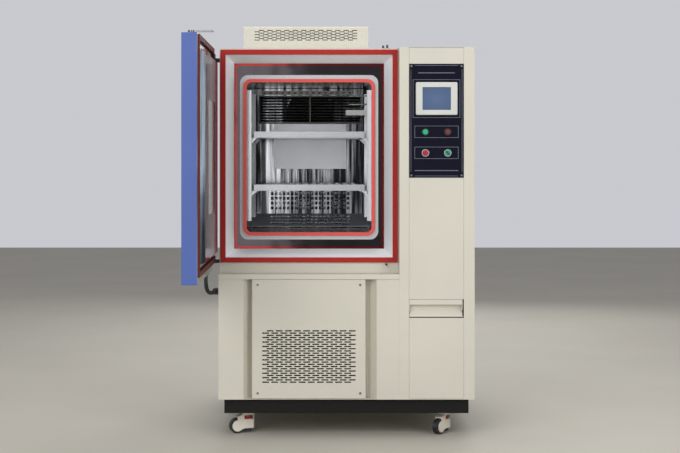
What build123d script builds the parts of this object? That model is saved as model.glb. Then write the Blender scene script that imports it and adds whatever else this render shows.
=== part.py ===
# Environmental test chamber: an insulated cabinet on leveling casters, with a side-hinged door, two shelves,
# a refrigeration bay below, a circulation duct behind and a control column on the right.
# Millimetres. While it is modelled, X runs right from the cabinet's middle, Y runs back from its front and
# Z runs up from the floor. The door stands open at a right angle, and the finished pieces are moved so that
# the origin is on the floor under the middle of the whole outline.

import math
import os

from build123d import *

# Cabinet and column
BODY_WIDTH = 1012.0
BODY_DEPTH = 1000.0
BODY_TOP = 1540.0
COLUMN_WIDTH = 297.0
LEDGE_TOP = 642.0
LEDGE_RAIL_HEIGHT = 20.0
LEDGE_RAIL_PROUD = 3.0
LEDGE_RAIL_DEPTH = 26.0
SHEET = 2.0
PLINTH_HEIGHT = 57.0
PLINTH_INSET = 22.0
PLINTH_FLANGE = 40.0
PLINTH_WALL = 3.0
CASTER_HEIGHT = 90.0

# Fits
RUNNING_GAP = 0.05
SLIDE_GAP = 0.3
TRIM_GAP = 1.0

# Lower front: two pillars, two slanting returns and the vented panel between them
LEFT_PILLAR = 99.0
RIGHT_PILLAR = 90.0
RETURN_WIDTH = 30.0
RETURN_DEPTH = 44.0
RETURN_TAIL = 22.0
GRILLE_WIDTH = 447.0
GRILLE_BOTTOM = 151.0
GRILLE_TOP = 621.0
GRILLE_SLOT_LENGTH = 26.5
GRILLE_SLOT_HEIGHT = 5.0
GRILLE_SLOT_COLUMNS = 10
GRILLE_SLOT_ROWS = 24
GRILLE_SLOT_PITCH_X = 36.0
GRILLE_SLOT_PITCH_Z = 8.8
GRILLE_SLOTS_BOTTOM = 216.0
SCREW_INSET = 21.0
SCREW_DIAMETER = 9.0
SCREW_HEIGHT = 2.4

# Door, its gasket and the two seals on the body
DOOR_THICKNESS = 56.0
DOOR_BOTTOM = 657.5
DOOR_TOP = 1539.0
DOOR_GAP_RIGHT = 4.0
DOOR_SHEET = 1.5
GASKET_DEPTH = 8.0
SEAL_DEPTH = 8.0
SEAL_WIDTH = 20.0
SEAL_GAP = 0.3
SEAL_BOTTOM = 684.0
SEAL_TOP = 1534.0
SEAL_SIDE_INSET = 4.0
HINGE_OFFSET = 25.0
HINGE_PIN_DIAMETER = 10.0
HINGE_KNUCKLE_DIAMETER = 20.0
HINGE_KNUCKLE_HEIGHT = 15.0
HINGE_INSET = 24.0
HINGE_LEAF_THICKNESS = 12.0
PLUG_DEPTH = 24.0
PLUG_SEAL_GAP = 0.3
PLUG_WIDTH = 620.0
PLUG_HEIGHT = 762.0
PLUG_TAPER = 10.0
WINDOW_WIDTH = 320.0
WINDOW_HEIGHT = 420.0
WINDOW_CORNER = 24.0
WINDOW_REBATE = 8.0
FRAME_LIP = 5.0
PANE = 5.0

# Door latch: a rod inside the door, a lever in a cup outside and a cam on top
ROD_DIAMETER = 12.0
ROD_FROM_EDGE = 45.0
ROD_DEPTH = 30.0
CUP_WIDTH = 136.0
CUP_HEIGHT = 76.0
CUP_DEPTH = 44.0
CUP_BEYOND_ROD = 32.0
CUP_CENTRE_Z = 1090.0
LEVER_LENGTH = 92.0
LEVER_HEIGHT = 46.0
LEVER_THICKNESS = 5.0
LEVER_HUB = 22.0
CAM_THICKNESS = 6.0
CAM_LIFT = 5.0
CAM_REACH = 80.0
CAM_WIDTH = 9.0
CAM_NOSE = 13.0
CAM_NOSE_THICKNESS = 7.0
KEEPER_PIN_DIAMETER = 8.0
KEEPER_PIN_HEIGHT = 15.0
KEEPER_PLATE = 2.5
KEEPER_GAP = 2.0
KEEPER_STOP_BEHIND = 35.0

# Stepped stainless frame and the inner opening
LINER_WIDTH = 500.0
LINER_HEIGHT = 600.0
LINER_CENTRE_Z = 1104.0
LINER_DEPTH = 593.0
LINER_SHEET = 1.5
REVEAL_INSET = 32.0
REVEAL_DEPTH = 42.5
CHANNEL_DEPTH = 30.0
LIP_WIDTH = 554.0
LIP_HEIGHT = 659.0
LIP_CORNER = 32.0
LIP_STAND = 25.0
INNER_SEAL_WIDTH = 527.0
INNER_SEAL_HEIGHT = 627.0
INNER_SEAL_CORNER = 32.0
INNER_SEAL_BEND = 20.0
BULKHEAD_FROM_LINER = 100.0

# Duct wall, outlet and return
DUCT_DEPTH = 148.0
DUCT_TOP_GAP = 2.0
OUTLET_WIDTH = 435.0
OUTLET_BOTTOM = 1256.0
OUTLET_TOP = 1366.0
OUTLET_BLADES = 9
BLADE_DEPTH = 15.0
BLADE_TILT = 25.0
LOUVRE_FRAME = 6.0
LOUVRE_DEPTH = 14.0
RETURN_COLUMNS = 20
RETURN_ROWS = 6
RETURN_HOLE_WIDTH = 12.0
RETURN_HOLE_HEIGHT = 13.0
RETURN_PITCH_X = 17.4
RETURN_PITCH_Z = 20.7
RETURN_LOWEST = 884.0
CENTRE_PLATE_WIDTH = 317.0
CENTRE_PLATE_BOTTOM = 1053.0
SUMP_HIGH = 54.0
SUMP_LOW = 4.0
SUMP_RUN = 112.0
SUMP_ROWS = 3

# Shelves on their runners
SHELF_WIDTH = 447.0
SHELF_DEPTH = 440.0
SHELF_FRONT = 128.0
SHELF_RIM = 25.0
SHELF_SHEET = 2.0
SHELF_SLOTS = 12
UPPER_SHELF_TOP = 1208.0
LOWER_SHELF_TOP = 994.0
UPRIGHT_DEPTH = 16.0
UPRIGHT_WIDTH = 24.0
UPRIGHT_BOTTOM = 846.0
UPRIGHT_TOP = 1376.0
UPRIGHT_FROM_SHELF_END = 20.0
RUNNER_WIDTH = 30.0
RUNNER_HEIGHT = 12.0
RUNNER_SHEET = 2.0
GUSSET = 22.0

# Column front, from the top: panel, control plate, fill drawer, panel
STILE_LEFT = 38.0
STILE_RIGHT = 43.0
DRAWER_BOTTOM = 471.0
DRAWER_TOP = 543.0
DRAWER_GAP_LOW = 3.0
DRAWER_GAP_RIGHT = 5.0
PANEL_FLANGE = 15.0
DRAWER_STRIP = 20.0
POCKET_HEIGHT = 22.0
POCKET_DEPTH = 20.0
TRAY_DEPTH = 290.0
TRAY_HEIGHT = 44.0
TRAY_SIDE = 6.0
PLATE_BOTTOM = 1023.5
PLATE_TOP = 1473.0
PLATE_THICKNESS = 3.0
HMI_WIDTH = 164.0
HMI_HEIGHT = 129.0
HMI_CENTRE_Z = 1335.5
HMI_PROUD = 10.0
SCREEN_WIDTH = 112.0
SCREEN_HEIGHT = 90.0
SCREEN_RECESS = 3.0
CONTROL_SPACING = 88.0
LAMP_ROW_Z = 1204.0
BUTTON_ROW_Z = 1121.0
CONTROL_RING = 29.0
CONTROL_BORE = 23.0
CONTROL_RING_HEIGHT = 6.0
BUTTON_DIAMETER = 22.0
BUTTON_PROUD = 5.0
BUTTON_TRAVEL = 4.0

# Top cover over the duct motor
COVER_WIDTH = 510.0
COVER_FRONT = 200.0
COVER_DEPTH = 560.0
COVER_HEIGHT = 98.0
COVER_SLOT_LENGTH = 21.0
COVER_SLOT_HEIGHT = 3.2
COVER_SLOT_COLUMNS = 12
COVER_SLOT_ROWS = 8
COVER_SLOT_PITCH_X = 34.6
COVER_SLOT_PITCH_Z = 5.6
COVER_SLOTS_BOTTOM = 43.0

# Fans, refrigeration and control gear
FAN_DIAMETER = 210.0
FAN_WIDTH = 50.0
FAN_BLADES = 8
FAN_CENTRE_Z = 1296.0
FAN_SHAFT = 12.0
FAN_FROM_DUCT_WALL = 40.0
MOTOR_DIAMETER = 130.0
MOTOR_LENGTH = 110.0
CONDENSER_WIDTH = 380.0
CONDENSER_HEIGHT = 400.0
CONDENSER_THICKNESS = 44.0
CONDENSER_FROM_FRONT = 90.0
SHROUD_DEPTH = 60.0
CONDENSER_FAN_DIAMETER = 300.0
CONDENSER_FAN_WIDTH = 30.0
CONDENSER_BLADES = 5
COMPRESSOR_DIAMETER = 190.0
COMPRESSOR_HEIGHT = 260.0
COMPRESSOR_Y = 620.0

# Casters with a thumb wheel that screws a foot down
CASTER_INSET_X = 111.0
CASTER_INSET_Y = 100.0
CASTER_PLATE = 76.0
CASTER_PLATE_THICKNESS = 4.0
WHEEL_DIAMETER = 60.0
WHEEL_WIDTH = 22.0
WHEEL_OFFSET = 46.0
AXLE_DIAMETER = 8.0
CHEEK = 3.5
CHEEK_DIAMETER = 44.0
HOUSING_LENGTH = 48.0
HOUSING_WIDTH = 33.0
HOUSING_TOP = 84.0
HOUSING_BOTTOM = 19.0
THUMB_DIAMETER = 35.0
THUMB_HEIGHT = 15.0
THUMB_BOTTOM = 56.0
STEM_DIAMETER = 12.0
FOOT_DIAMETER = 31.0
FOOT_CLEARANCE = 8.0
CASTER_TURNS = {"front_left": 200.0, "front_right": 235.0, "rear_left": 170.0, "rear_right": 250.0}

# Conduit between door and cabinet: its route stands as chosen, from the door's underside to the body's side
CONDUIT_DIAMETER = 16.0
CONDUIT_ROUTE = [
    (-548.0, -96.0, 649.5),
    (-548.0, -96.0, 618.0),
    (-546.5, -77.0, 591.0),
    (-541.0, -50.0, 575.0),
    (-532.0, -19.0, 570.0),
    (-521.0, 10.0, 571.0),
    (-521.0, 40.0, 571.0),
]
GLAND_DIAMETER = 26.0

# Places worked out from the sizes
LEFT = -BODY_WIDTH / 2
RIGHT = BODY_WIDTH / 2
COLUMN_LEFT = RIGHT - COLUMN_WIDTH
FLOOR_PAN = CASTER_HEIGHT + PLINTH_HEIGHT
DOOR_RIGHT = COLUMN_LEFT - DOOR_GAP_RIGHT
HINGE_X = LEFT - HINGE_OFFSET
HINGE_Y = DOOR_THICKNESS
SEAL_FRONT = DOOR_THICKNESS + GASKET_DEPTH + SEAL_GAP
CHAMBER_FRONT = SEAL_FRONT + SEAL_DEPTH
SEAL_LEFT = LEFT + SEAL_SIDE_INSET
SEAL_RIGHT = COLUMN_LEFT - SEAL_SIDE_INSET
SEAL_CENTRE_X = (SEAL_LEFT + SEAL_RIGHT) / 2
SEAL_CENTRE_Z = (SEAL_BOTTOM + SEAL_TOP) / 2
LINER_X = SEAL_CENTRE_X
REVEAL_BACK = CHAMBER_FRONT + REVEAL_DEPTH
LINER_FRONT = REVEAL_BACK + CHANNEL_DEPTH + LINER_SHEET
LINER_LEFT = LINER_X - LINER_WIDTH / 2
LINER_RIGHT = LINER_X + LINER_WIDTH / 2
LINER_BOTTOM = LINER_CENTRE_Z - LINER_HEIGHT / 2
LINER_TOP = LINER_CENTRE_Z + LINER_HEIGHT / 2
LINER_BACK = LINER_FRONT + LINER_DEPTH
LIP_FRONT = REVEAL_BACK - LIP_STAND
BULKHEAD = LINER_BACK + LINER_SHEET + BULKHEAD_FROM_LINER
DUCT_WALL = LINER_BACK - DUCT_DEPTH
INNER_SEAL_FRONT = DOOR_THICKNESS + PLUG_DEPTH + PLUG_SEAL_GAP
GRILLE_LEFT = LINER_X - GRILLE_WIDTH / 2
GRILLE_RIGHT = LINER_X + GRILLE_WIDTH / 2
ROD_X = DOOR_RIGHT - ROD_FROM_EDGE
PANEL_LEFT = COLUMN_LEFT + STILE_LEFT
PANEL_RIGHT = RIGHT - STILE_RIGHT
PANEL_CENTRE = (PANEL_LEFT + PANEL_RIGHT) / 2
DOOR_REACH = DOOR_RIGHT - HINGE_X
ORIGIN_X = (HINGE_X - DOOR_THICKNESS + RIGHT) / 2
ORIGIN_Y = (HINGE_Y - DOOR_REACH + BODY_DEPTH) / 2


def slab(x, y, z):
    """A block between two values on each axis."""
    size = (x[1] - x[0], y[1] - y[0], z[1] - z[0])
    return Pos((x[0] + x[1]) / 2, (y[0] + y[1]) / 2, (z[0] + z[1]) / 2) * Box(*size)


def facing(x, y, z):
    """A drawing plane that faces the front, with its own Y pointing up."""
    return Plane(origin=(x, y, z), x_dir=(1, 0, 0), z_dir=(0, -1, 0))


def plate(x, y, z, corner=0.0):
    """An upright plate between two values on each axis, with rounded corners as seen from the front."""
    width, height = x[1] - x[0], z[1] - z[0]
    outline = RectangleRounded(width, height, corner) if corner else Rectangle(width, height)
    return extrude(facing((x[0] + x[1]) / 2, y[0], (z[0] + z[1]) / 2) * outline, -(y[1] - y[0]))


def around(centre, width):
    """The two values that lie half a width each side of a centre."""
    return centre - width / 2, centre + width / 2


def ring(x, y, z, band, corner=0.0, inner_corner=0.0):
    """An upright rectangular ring with the same band on all four sides."""
    inside = plate((x[0] + band, x[1] - band), y, (z[0] + band, z[1] - band), inner_corner)
    return plate(x, y, z, corner) - inside


def tapered(front, back, y, centre):
    """A block whose width and height change from the front to the back."""
    near = facing(centre[0], y[0], centre[1]) * Rectangle(*front)
    far = facing(centre[0], y[1], centre[1]) * Rectangle(*back)
    return loft([near, far])


def bar(start, end, diameter):
    """A round bar from one point to another."""
    way = Vector(*end) - Vector(*start)
    lie = Plane(origin=start, z_dir=way)
    return lie * Cylinder(diameter / 2, way.length, align=(Align.CENTER, Align.CENTER, Align.MIN))


def folded(points, z):
    """A sheet folded along a plan line, with its thickness on the left of the line."""
    line = Polyline(*points)
    outline = offset(line, SHEET, kind=Kind.INTERSECTION, side=Side.LEFT)
    return Pos(0, 0, z[0]) * extrude(make_face(outline.edges()), z[1] - z[0])


def staggered(columns, rows, pitch_x, pitch_z, centre_x, bottom, size, y):
    """The cutters of a field of slots in which each row stands half a pitch beside the next."""
    cutters = []
    for row in range(rows):
        shift = -pitch_x / 4 if row % 2 == 0 else pitch_x / 4
        for column in range(columns):
            x = centre_x + shift + (column - (columns - 1) / 2) * pitch_x
            z = bottom + row * pitch_z
            cutters.append(slab(around(x, size[0]), y, around(z, size[1])))
    return cutters


def swing_open(piece):
    """Turns a piece that is drawn on the closed door to where it stands with the door open."""
    return Pos(HINGE_X, HINGE_Y, 0) * Rot(0, 0, -90) * Pos(-HINGE_X, -HINGE_Y, 0) * piece


def group(pieces):
    """Several solids that share one node."""
    return Compound([solid for piece in pieces for solid in piece.solids()])


def base_frame():
    """The plinth of folded channel, with a plate at each corner that a caster is bolted to."""
    x = (LEFT + PLINTH_INSET, RIGHT - PLINTH_INSET)
    y = (PLINTH_INSET, BODY_DEPTH - PLINTH_INSET)
    z = (CASTER_HEIGHT, FLOOR_PAN)
    wall, flange = PLINTH_WALL, PLINTH_FLANGE
    frame = slab(x, y, z) - slab((x[0] + flange, x[1] - flange), (y[0] + flange, y[1] - flange), z)
    web = slab((x[0] + wall, x[1] - wall), (y[0] + wall, y[1] - wall), (z[0] + wall, z[1] - wall))
    frame -= web
    reach = CASTER_INSET_X - PLINTH_INSET + CASTER_PLATE / 2 + wall
    low = (z[0], z[0] + wall)
    for side_x in ((x[0] + wall, x[0] + reach), (x[1] - reach, x[1] - wall)):
        for side_y in ((y[0] + wall, y[0] + reach + wall), (y[1] - reach - wall, y[1] - wall)):
            frame += slab(side_x, side_y, low)
    for rail in (BODY_DEPTH / 3, BODY_DEPTH * 2 / 3):
        frame += slab((x[0] + wall, x[1] - wall), around(rail, flange), (z[1] - wall, z[1]))
    return frame


def cabinet_shell():
    """The lower cabinet: floor, left side, back and deck, with folded front pillars and the ledge rail."""
    x = (LEFT, COLUMN_LEFT)
    y = (SHEET, BODY_DEPTH)
    z = (FLOOR_PAN, LEDGE_TOP)
    inside = slab((x[0] + SHEET, x[1] - SHEET), (0, y[1] - SHEET), (z[0] + SHEET, z[1] - SHEET))
    shell = slab(x, y, z) - inside
    front = (z[0], LEDGE_TOP - LEDGE_RAIL_HEIGHT)
    left_edge, right_edge = LEFT + LEFT_PILLAR, COLUMN_LEFT - RIGHT_PILLAR
    left_back, right_back = left_edge + RETURN_WIDTH, right_edge - RETURN_WIDTH
    left = [(LEFT, 0), (left_edge, 0), (left_back, RETURN_DEPTH), (left_back + RETURN_TAIL, RETURN_DEPTH)]
    right = [(right_back - RETURN_TAIL, RETURN_DEPTH), (right_back, RETURN_DEPTH), (right_edge, 0)]
    right.append((COLUMN_LEFT, 0))
    shell += folded(left, front)
    shell += folded(right, front)
    rail_y = (-LEDGE_RAIL_PROUD, LEDGE_RAIL_DEPTH)
    shell += slab(x, rail_y, (LEDGE_TOP - LEDGE_RAIL_HEIGHT, LEDGE_TOP))
    return shell


def screw_places():
    """The vented panel's and the control plate's corner screws, as points on their faces."""
    low, high = GRILLE_BOTTOM + SCREW_INSET, GRILLE_TOP - SCREW_INSET
    left, right = GRILLE_LEFT + SCREW_INSET, GRILLE_RIGHT - SCREW_INSET
    inset = SCREW_DIAMETER
    panel = [(x, 0.0, z) for x in (left, right) for z in (low, high)]
    for x in (PANEL_LEFT + inset, PANEL_RIGHT - inset):
        panel += [(x, -PLATE_THICKNESS, z) for z in (PLATE_BOTTOM + inset, PLATE_TOP - inset)]
    return panel


def panel_screws():
    """Eight pan-head screws, seated on the panel and the plate that they hold."""
    heads = []
    for x, y, z in screw_places():
        heads.append(bar((x, y, z), (x, y - SCREW_HEIGHT, z), SCREW_DIAMETER))
    return group(heads)


def grille_panel():
    """The vented front panel, a shallow pan whose flanges reach back beside the slanting returns."""
    x, z = (GRILLE_LEFT, GRILLE_RIGHT), (GRILLE_BOTTOM, GRILLE_TOP)
    pan = plate(x, (0, RETURN_DEPTH), z)
    pan -= plate((x[0] + SHEET, x[1] - SHEET), (SHEET, RETURN_DEPTH), (z[0] + SHEET, z[1] - SHEET))
    size = (GRILLE_SLOT_LENGTH, GRILLE_SLOT_HEIGHT)
    pitch = (GRILLE_SLOT_PITCH_X, GRILLE_SLOT_PITCH_Z)
    count = (GRILLE_SLOT_COLUMNS, GRILLE_SLOT_ROWS)
    return pan - staggered(*count, *pitch, LINER_X, GRILLE_SLOTS_BOTTOM, size, (-SHEET, 2 * SHEET))


def shaft_hole(front, back, diameter):
    """A hole on the circulation fan's axis."""
    return bar((LINER_X, front, FAN_CENTRE_Z), (LINER_X, back, FAN_CENTRE_Z), diameter)


def chamber_shell():
    """The outer casing round the insulated chamber, open inside a narrow front flange, with a bulkhead."""
    x, y, z = (LEFT, COLUMN_LEFT), (CHAMBER_FRONT, BODY_DEPTH), (LEDGE_TOP, BODY_TOP)
    inside_x, inside_z = (x[0] + SHEET, x[1] - SHEET), (z[0] + SHEET, z[1] - SHEET)
    shell = slab(x, y, z) - slab(inside_x, (y[0] + SHEET, y[1] - SHEET), inside_z)
    shell -= plate((SEAL_LEFT, SEAL_RIGHT), (y[0], y[0] + SHEET), (SEAL_BOTTOM, SEAL_TOP))
    shell += slab(inside_x, (BULKHEAD, BULKHEAD + SHEET), inside_z)
    shell -= shaft_hole(BULKHEAD - SHEET, BULKHEAD + 2 * SHEET, 3 * FAN_SHAFT)
    shell -= switch_hole()
    return shell


def insulation():
    """The insulating blanket between casing and liner."""
    x = (LEFT + SHEET, COLUMN_LEFT - SHEET)
    z = (LEDGE_TOP + SHEET, BODY_TOP - SHEET)
    block = slab(x, (LINER_FRONT + LINER_SHEET, BULKHEAD), z)
    wall = LINER_SHEET
    hollow_y = (LINER_FRONT, LINER_BACK + wall)
    block -= slab((LINER_LEFT - wall, LINER_RIGHT + wall), hollow_y, (LINER_BOTTOM - wall, LINER_TOP + wall))
    return block - shaft_hole(LINER_BACK, BULKHEAD + SHEET, 3 * FAN_SHAFT)


def liner():
    """The stainless inner box, with a flange behind the stepped frame and a hole for the fan shaft."""
    wall = LINER_SHEET
    y = (LINER_FRONT, LINER_BACK + wall)
    box = slab((LINER_LEFT - wall, LINER_RIGHT + wall), y, (LINER_BOTTOM - wall, LINER_TOP + wall))
    reach = (LIP_WIDTH - LINER_WIDTH) / 2 + LINER_SHEET
    rise = (LIP_HEIGHT - LINER_HEIGHT) / 2 + LINER_SHEET
    flange_x, flange_z = (LINER_LEFT - reach, LINER_RIGHT + reach), (LINER_BOTTOM - rise, LINER_TOP + rise)
    box += slab(flange_x, (LINER_FRONT, LINER_FRONT + wall), flange_z)
    box -= slab((LINER_LEFT, LINER_RIGHT), (LINER_FRONT, LINER_BACK), (LINER_BOTTOM, LINER_TOP))
    return box - shaft_hole(LINER_BACK, LINER_BACK + 2 * wall, 2 * FAN_SHAFT)


def stepped_frame():
    """The polished frame: a front flange, a flared reveal, a channel and the raised lip in its middle."""
    wall = LINER_SHEET
    x, z = (SEAL_LEFT, SEAL_RIGHT), (SEAL_BOTTOM, SEAL_TOP)
    front, bend, back = CHAMBER_FRONT, REVEAL_BACK, LINER_FRONT
    centre = (SEAL_CENTRE_X, SEAL_CENTRE_Z)
    mouth = (x[1] - x[0] - 2 * SEAL_WIDTH, z[1] - z[0] - 2 * SEAL_WIDTH)
    throat = (mouth[0] - 2 * REVEAL_INSET, mouth[1] - 2 * REVEAL_INSET)
    flange = plate(x, (front, front + wall), z)
    outside = tapered([m + 2 * wall for m in mouth], [t + 2 * wall for t in throat], (front, bend), centre)
    inside = tapered(mouth, throat, (front, bend), centre)
    wide_x, wide_z = around(centre[0], throat[0] + 2 * wall), around(centre[1], throat[1] + 2 * wall)
    channel = plate(wide_x, (bend, back), wide_z)
    channel -= plate(around(centre[0], throat[0]), (bend, back - wall), around(centre[1], throat[1]))
    lip = plate(around(LINER_X, LIP_WIDTH), (LIP_FRONT, back), around(LINER_CENTRE_Z, LIP_HEIGHT), LIP_CORNER)
    hollow_x, hollow_z = around(LINER_X, LIP_WIDTH - 2 * wall), around(LINER_CENTRE_Z, LIP_HEIGHT - 2 * wall)
    hollow = plate(hollow_x, (LIP_FRONT + wall, back), hollow_z, LIP_CORNER - wall)
    tube_x, tube_z = (LINER_LEFT - wall, LINER_RIGHT + wall), (LINER_BOTTOM - wall, LINER_TOP + wall)
    hollow -= plate(tube_x, (LIP_FRONT, back), tube_z)
    opening = plate((LINER_LEFT, LINER_RIGHT), (LIP_FRONT, back), (LINER_BOTTOM, LINER_TOP))
    return (flange + outside - inside + channel + lip) - hollow - opening


def frame_seals():
    """The square outer seal on the flange and the round-cornered inner seal on the lip."""
    outer = ring((SEAL_LEFT, SEAL_RIGHT), (SEAL_FRONT, CHAMBER_FRONT), (SEAL_BOTTOM, SEAL_TOP), SEAL_WIDTH)
    inner_x, inner_z = around(LINER_X, INNER_SEAL_WIDTH), around(LINER_CENTRE_Z, INNER_SEAL_HEIGHT)
    inner = plate(inner_x, (INNER_SEAL_FRONT, LIP_FRONT), inner_z, INNER_SEAL_CORNER)
    opening_x, opening_z = (LINER_LEFT, LINER_RIGHT), (LINER_BOTTOM, LINER_TOP)
    inner -= plate(opening_x, (INNER_SEAL_FRONT, LIP_FRONT), opening_z, INNER_SEAL_BEND)
    return group([outer, inner])


def return_columns():
    """The middles of the columns of return holes."""
    middle = (RETURN_COLUMNS - 1) / 2
    return [LINER_X + (column - middle) * RETURN_PITCH_X for column in range(RETURN_COLUMNS)]


def duct_panel():
    """The sheet in front of the duct, with the outlet opening, the return holes and a centre plate."""
    y = (DUCT_WALL, DUCT_WALL + LINER_SHEET)
    x = (LINER_LEFT, LINER_RIGHT)
    z = (LINER_BOTTOM, LINER_TOP - DUCT_TOP_GAP)
    panel = plate(x, y, z)
    deep = (y[0] - LINER_SHEET, y[1] + LINER_SHEET)
    panel -= slab(around(LINER_X, OUTLET_WIDTH), deep, (OUTLET_BOTTOM, OUTLET_TOP))
    holes = []
    for row in range(RETURN_ROWS):
        hole_z = around(RETURN_LOWEST + row * RETURN_PITCH_Z, RETURN_HOLE_HEIGHT)
        for hole_x in return_columns():
            holes.append(slab(around(hole_x, RETURN_HOLE_WIDTH), deep, hole_z))
    panel -= holes
    for side in ((x[0], x[0] + LINER_SHEET), (x[1] - LINER_SHEET, x[1])):
        panel += slab(side, (y[0], y[0] + UPRIGHT_WIDTH), z)
    cover_z = (CENTRE_PLATE_BOTTOM, OUTLET_BOTTOM - LOUVRE_FRAME)
    cover_y = (y[0] - LINER_SHEET, y[0])
    return panel + plate(around(LINER_X, CENTRE_PLATE_WIDTH), cover_y, cover_z, LOUVRE_FRAME)


def outlet_louvre():
    """The air outlet's frame with tilted blades and the rod that ties them."""
    x, z = around(LINER_X, OUTLET_WIDTH), (OUTLET_BOTTOM, OUTLET_TOP)
    y = (DUCT_WALL - LOUVRE_DEPTH, DUCT_WALL)
    edge = LOUVRE_FRAME
    wide_x, wide_z = (x[0] - edge, x[1] + edge), (z[0] - edge, z[1] + edge)
    frame = ring(wide_x, y, wide_z, edge)
    pitch = (z[1] - z[0]) / OUTLET_BLADES
    for blade in range(OUTLET_BLADES):
        turned = Rot(BLADE_TILT, 0, 0) * Box(x[1] - x[0] + edge, BLADE_DEPTH, LINER_SHEET)
        frame += Pos(LINER_X, y[1] - BLADE_DEPTH / 2, z[0] + (blade + 0.5) * pitch) * turned
    rod_y = (y[0] - LINER_SHEET, y[0] + LINER_SHEET)
    return frame + slab(around(LINER_X, edge), rod_y, (z[0] - edge / 2, z[1] + edge / 2))


def sump_cover():
    """The sloping slotted cover over the water sump, on two cheeks that stand on the liner's floor."""
    near, far = DUCT_WALL - SUMP_RUN, DUCT_WALL - LINER_SHEET
    low, high = LINER_BOTTOM + SUMP_LOW, LINER_BOTTOM + SUMP_HIGH
    section = [(near, low), (far, high), (far, high + LINER_SHEET), (near, low + LINER_SHEET)]
    cheek = [(near, LINER_BOTTOM), (far, LINER_BOTTOM), (far, high), (near, low)]
    left = LINER_LEFT + SLIDE_GAP
    side = Plane(origin=(left, 0, 0), x_dir=(0, 1, 0), z_dir=(1, 0, 0))
    length = LINER_WIDTH - 2 * SLIDE_GAP
    cover = extrude(side * make_face(Polyline(*section, close=True)), length)
    pitch = (far - near) / (SUMP_ROWS + 1)
    cutters = []
    for row in range(SUMP_ROWS):
        hole_y = around(near + (row + 1) * pitch, RETURN_HOLE_WIDTH)
        for x in return_columns():
            cutters.append(slab(around(x, RETURN_HOLE_WIDTH), hole_y, (LINER_BOTTOM, high + SUMP_LOW)))
    cover -= cutters
    for offset_x in (0, length - LINER_SHEET):
        cover += Pos(offset_x, 0, 0) * extrude(side * make_face(Polyline(*cheek, close=True)), LINER_SHEET)
    return cover


def upright_places():
    """The uprights' centres in Y, near the front and near the back of the shelves."""
    inset = UPRIGHT_FROM_SHELF_END + UPRIGHT_WIDTH / 2
    return SHELF_FRONT + inset, SHELF_FRONT + SHELF_DEPTH - inset


def shelf_supports():
    """Four folded uprights on the liner's walls, with runners for the shelves and a gusset under each."""
    sides = []
    for side, wall in ((1, LINER_LEFT), (-1, LINER_RIGHT)):
        inner = wall + side * UPRIGHT_DEPTH
        x = (min(wall, inner), max(wall, inner))
        pieces = []
        for y in upright_places():
            post = slab(x, around(y, UPRIGHT_WIDTH), (UPRIGHT_BOTTOM, UPRIGHT_TOP))
            hollow_x = (x[0] + RUNNER_SHEET, x[1] - RUNNER_SHEET)
            hollow_y = around(y, UPRIGHT_WIDTH - 2 * RUNNER_SHEET)
            hollow = slab(hollow_x, hollow_y, (UPRIGHT_BOTTOM, UPRIGHT_TOP))
            pieces.append(post - hollow)
        for shelf_top in (UPPER_SHELF_TOP, LOWER_SHELF_TOP):
            pieces.append(runner(side, inner, shelf_top - SHELF_RIM - SLIDE_GAP))
        sides.append(pieces[0].fuse(*pieces[1:]))
    return group(sides)


def runner(side, inner, top):
    """One shelf runner: a ledge along the shelf, its upright leg on the posts and a gusset at each post."""
    far = inner + side * RUNNER_WIDTH
    y = (SHELF_FRONT, SHELF_FRONT + SHELF_DEPTH)
    ledge = slab((min(inner, far), max(inner, far)), y, (top - RUNNER_SHEET, top))
    leg_end = inner + side * RUNNER_SHEET
    ledge += slab((min(inner, leg_end), max(inner, leg_end)), y, (top - RUNNER_HEIGHT, top))
    corner = [(inner, top - RUNNER_SHEET), (inner + side * GUSSET, top - RUNNER_SHEET), (inner, top - GUSSET)]
    outline = make_face(Polyline(*corner, close=True))
    for place in upright_places():
        ledge += extrude(facing(0, place - RUNNER_SHEET / 2, 0) * outline, -RUNNER_SHEET)
    return ledge


def shelf(top):
    """A pressed shelf: a slotted deck with a folded rim."""
    x, y = around(LINER_X, SHELF_WIDTH), (SHELF_FRONT, SHELF_FRONT + SHELF_DEPTH)
    wall = SHELF_SHEET
    tray = slab(x, y, (top - SHELF_RIM, top))
    tray -= slab((x[0] + wall, x[1] - wall), (y[0] + wall, y[1] - wall), (top - SHELF_RIM, top - wall))
    border = 2 * SHELF_RIM
    pitch = (SHELF_WIDTH - border) / SHELF_SLOTS
    cutters = []
    for slot in range(SHELF_SLOTS):
        slot_x = x[0] + SHELF_RIM + (slot + 0.5) * pitch
        slot_y = (y[0] + SHELF_RIM, y[1] - SHELF_RIM)
        cutters.append(slab(around(slot_x, pitch / 2), slot_y, (top - 2 * wall, top + wall)))
    return tray - cutters


SENSOR_Y = 330.0
SENSOR_REACH = 86.0
SENSOR_ROD = 6.0
SENSOR_HEIGHTS = (1360.0, 1325.0)
TROUGH_LENGTH = 97.0
TROUGH_HEIGHT = 22.0
TROUGH_TOP = 1301.0
TROUGH_DEPTH = 26.0
TROUGH_WALL = 2.0


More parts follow.
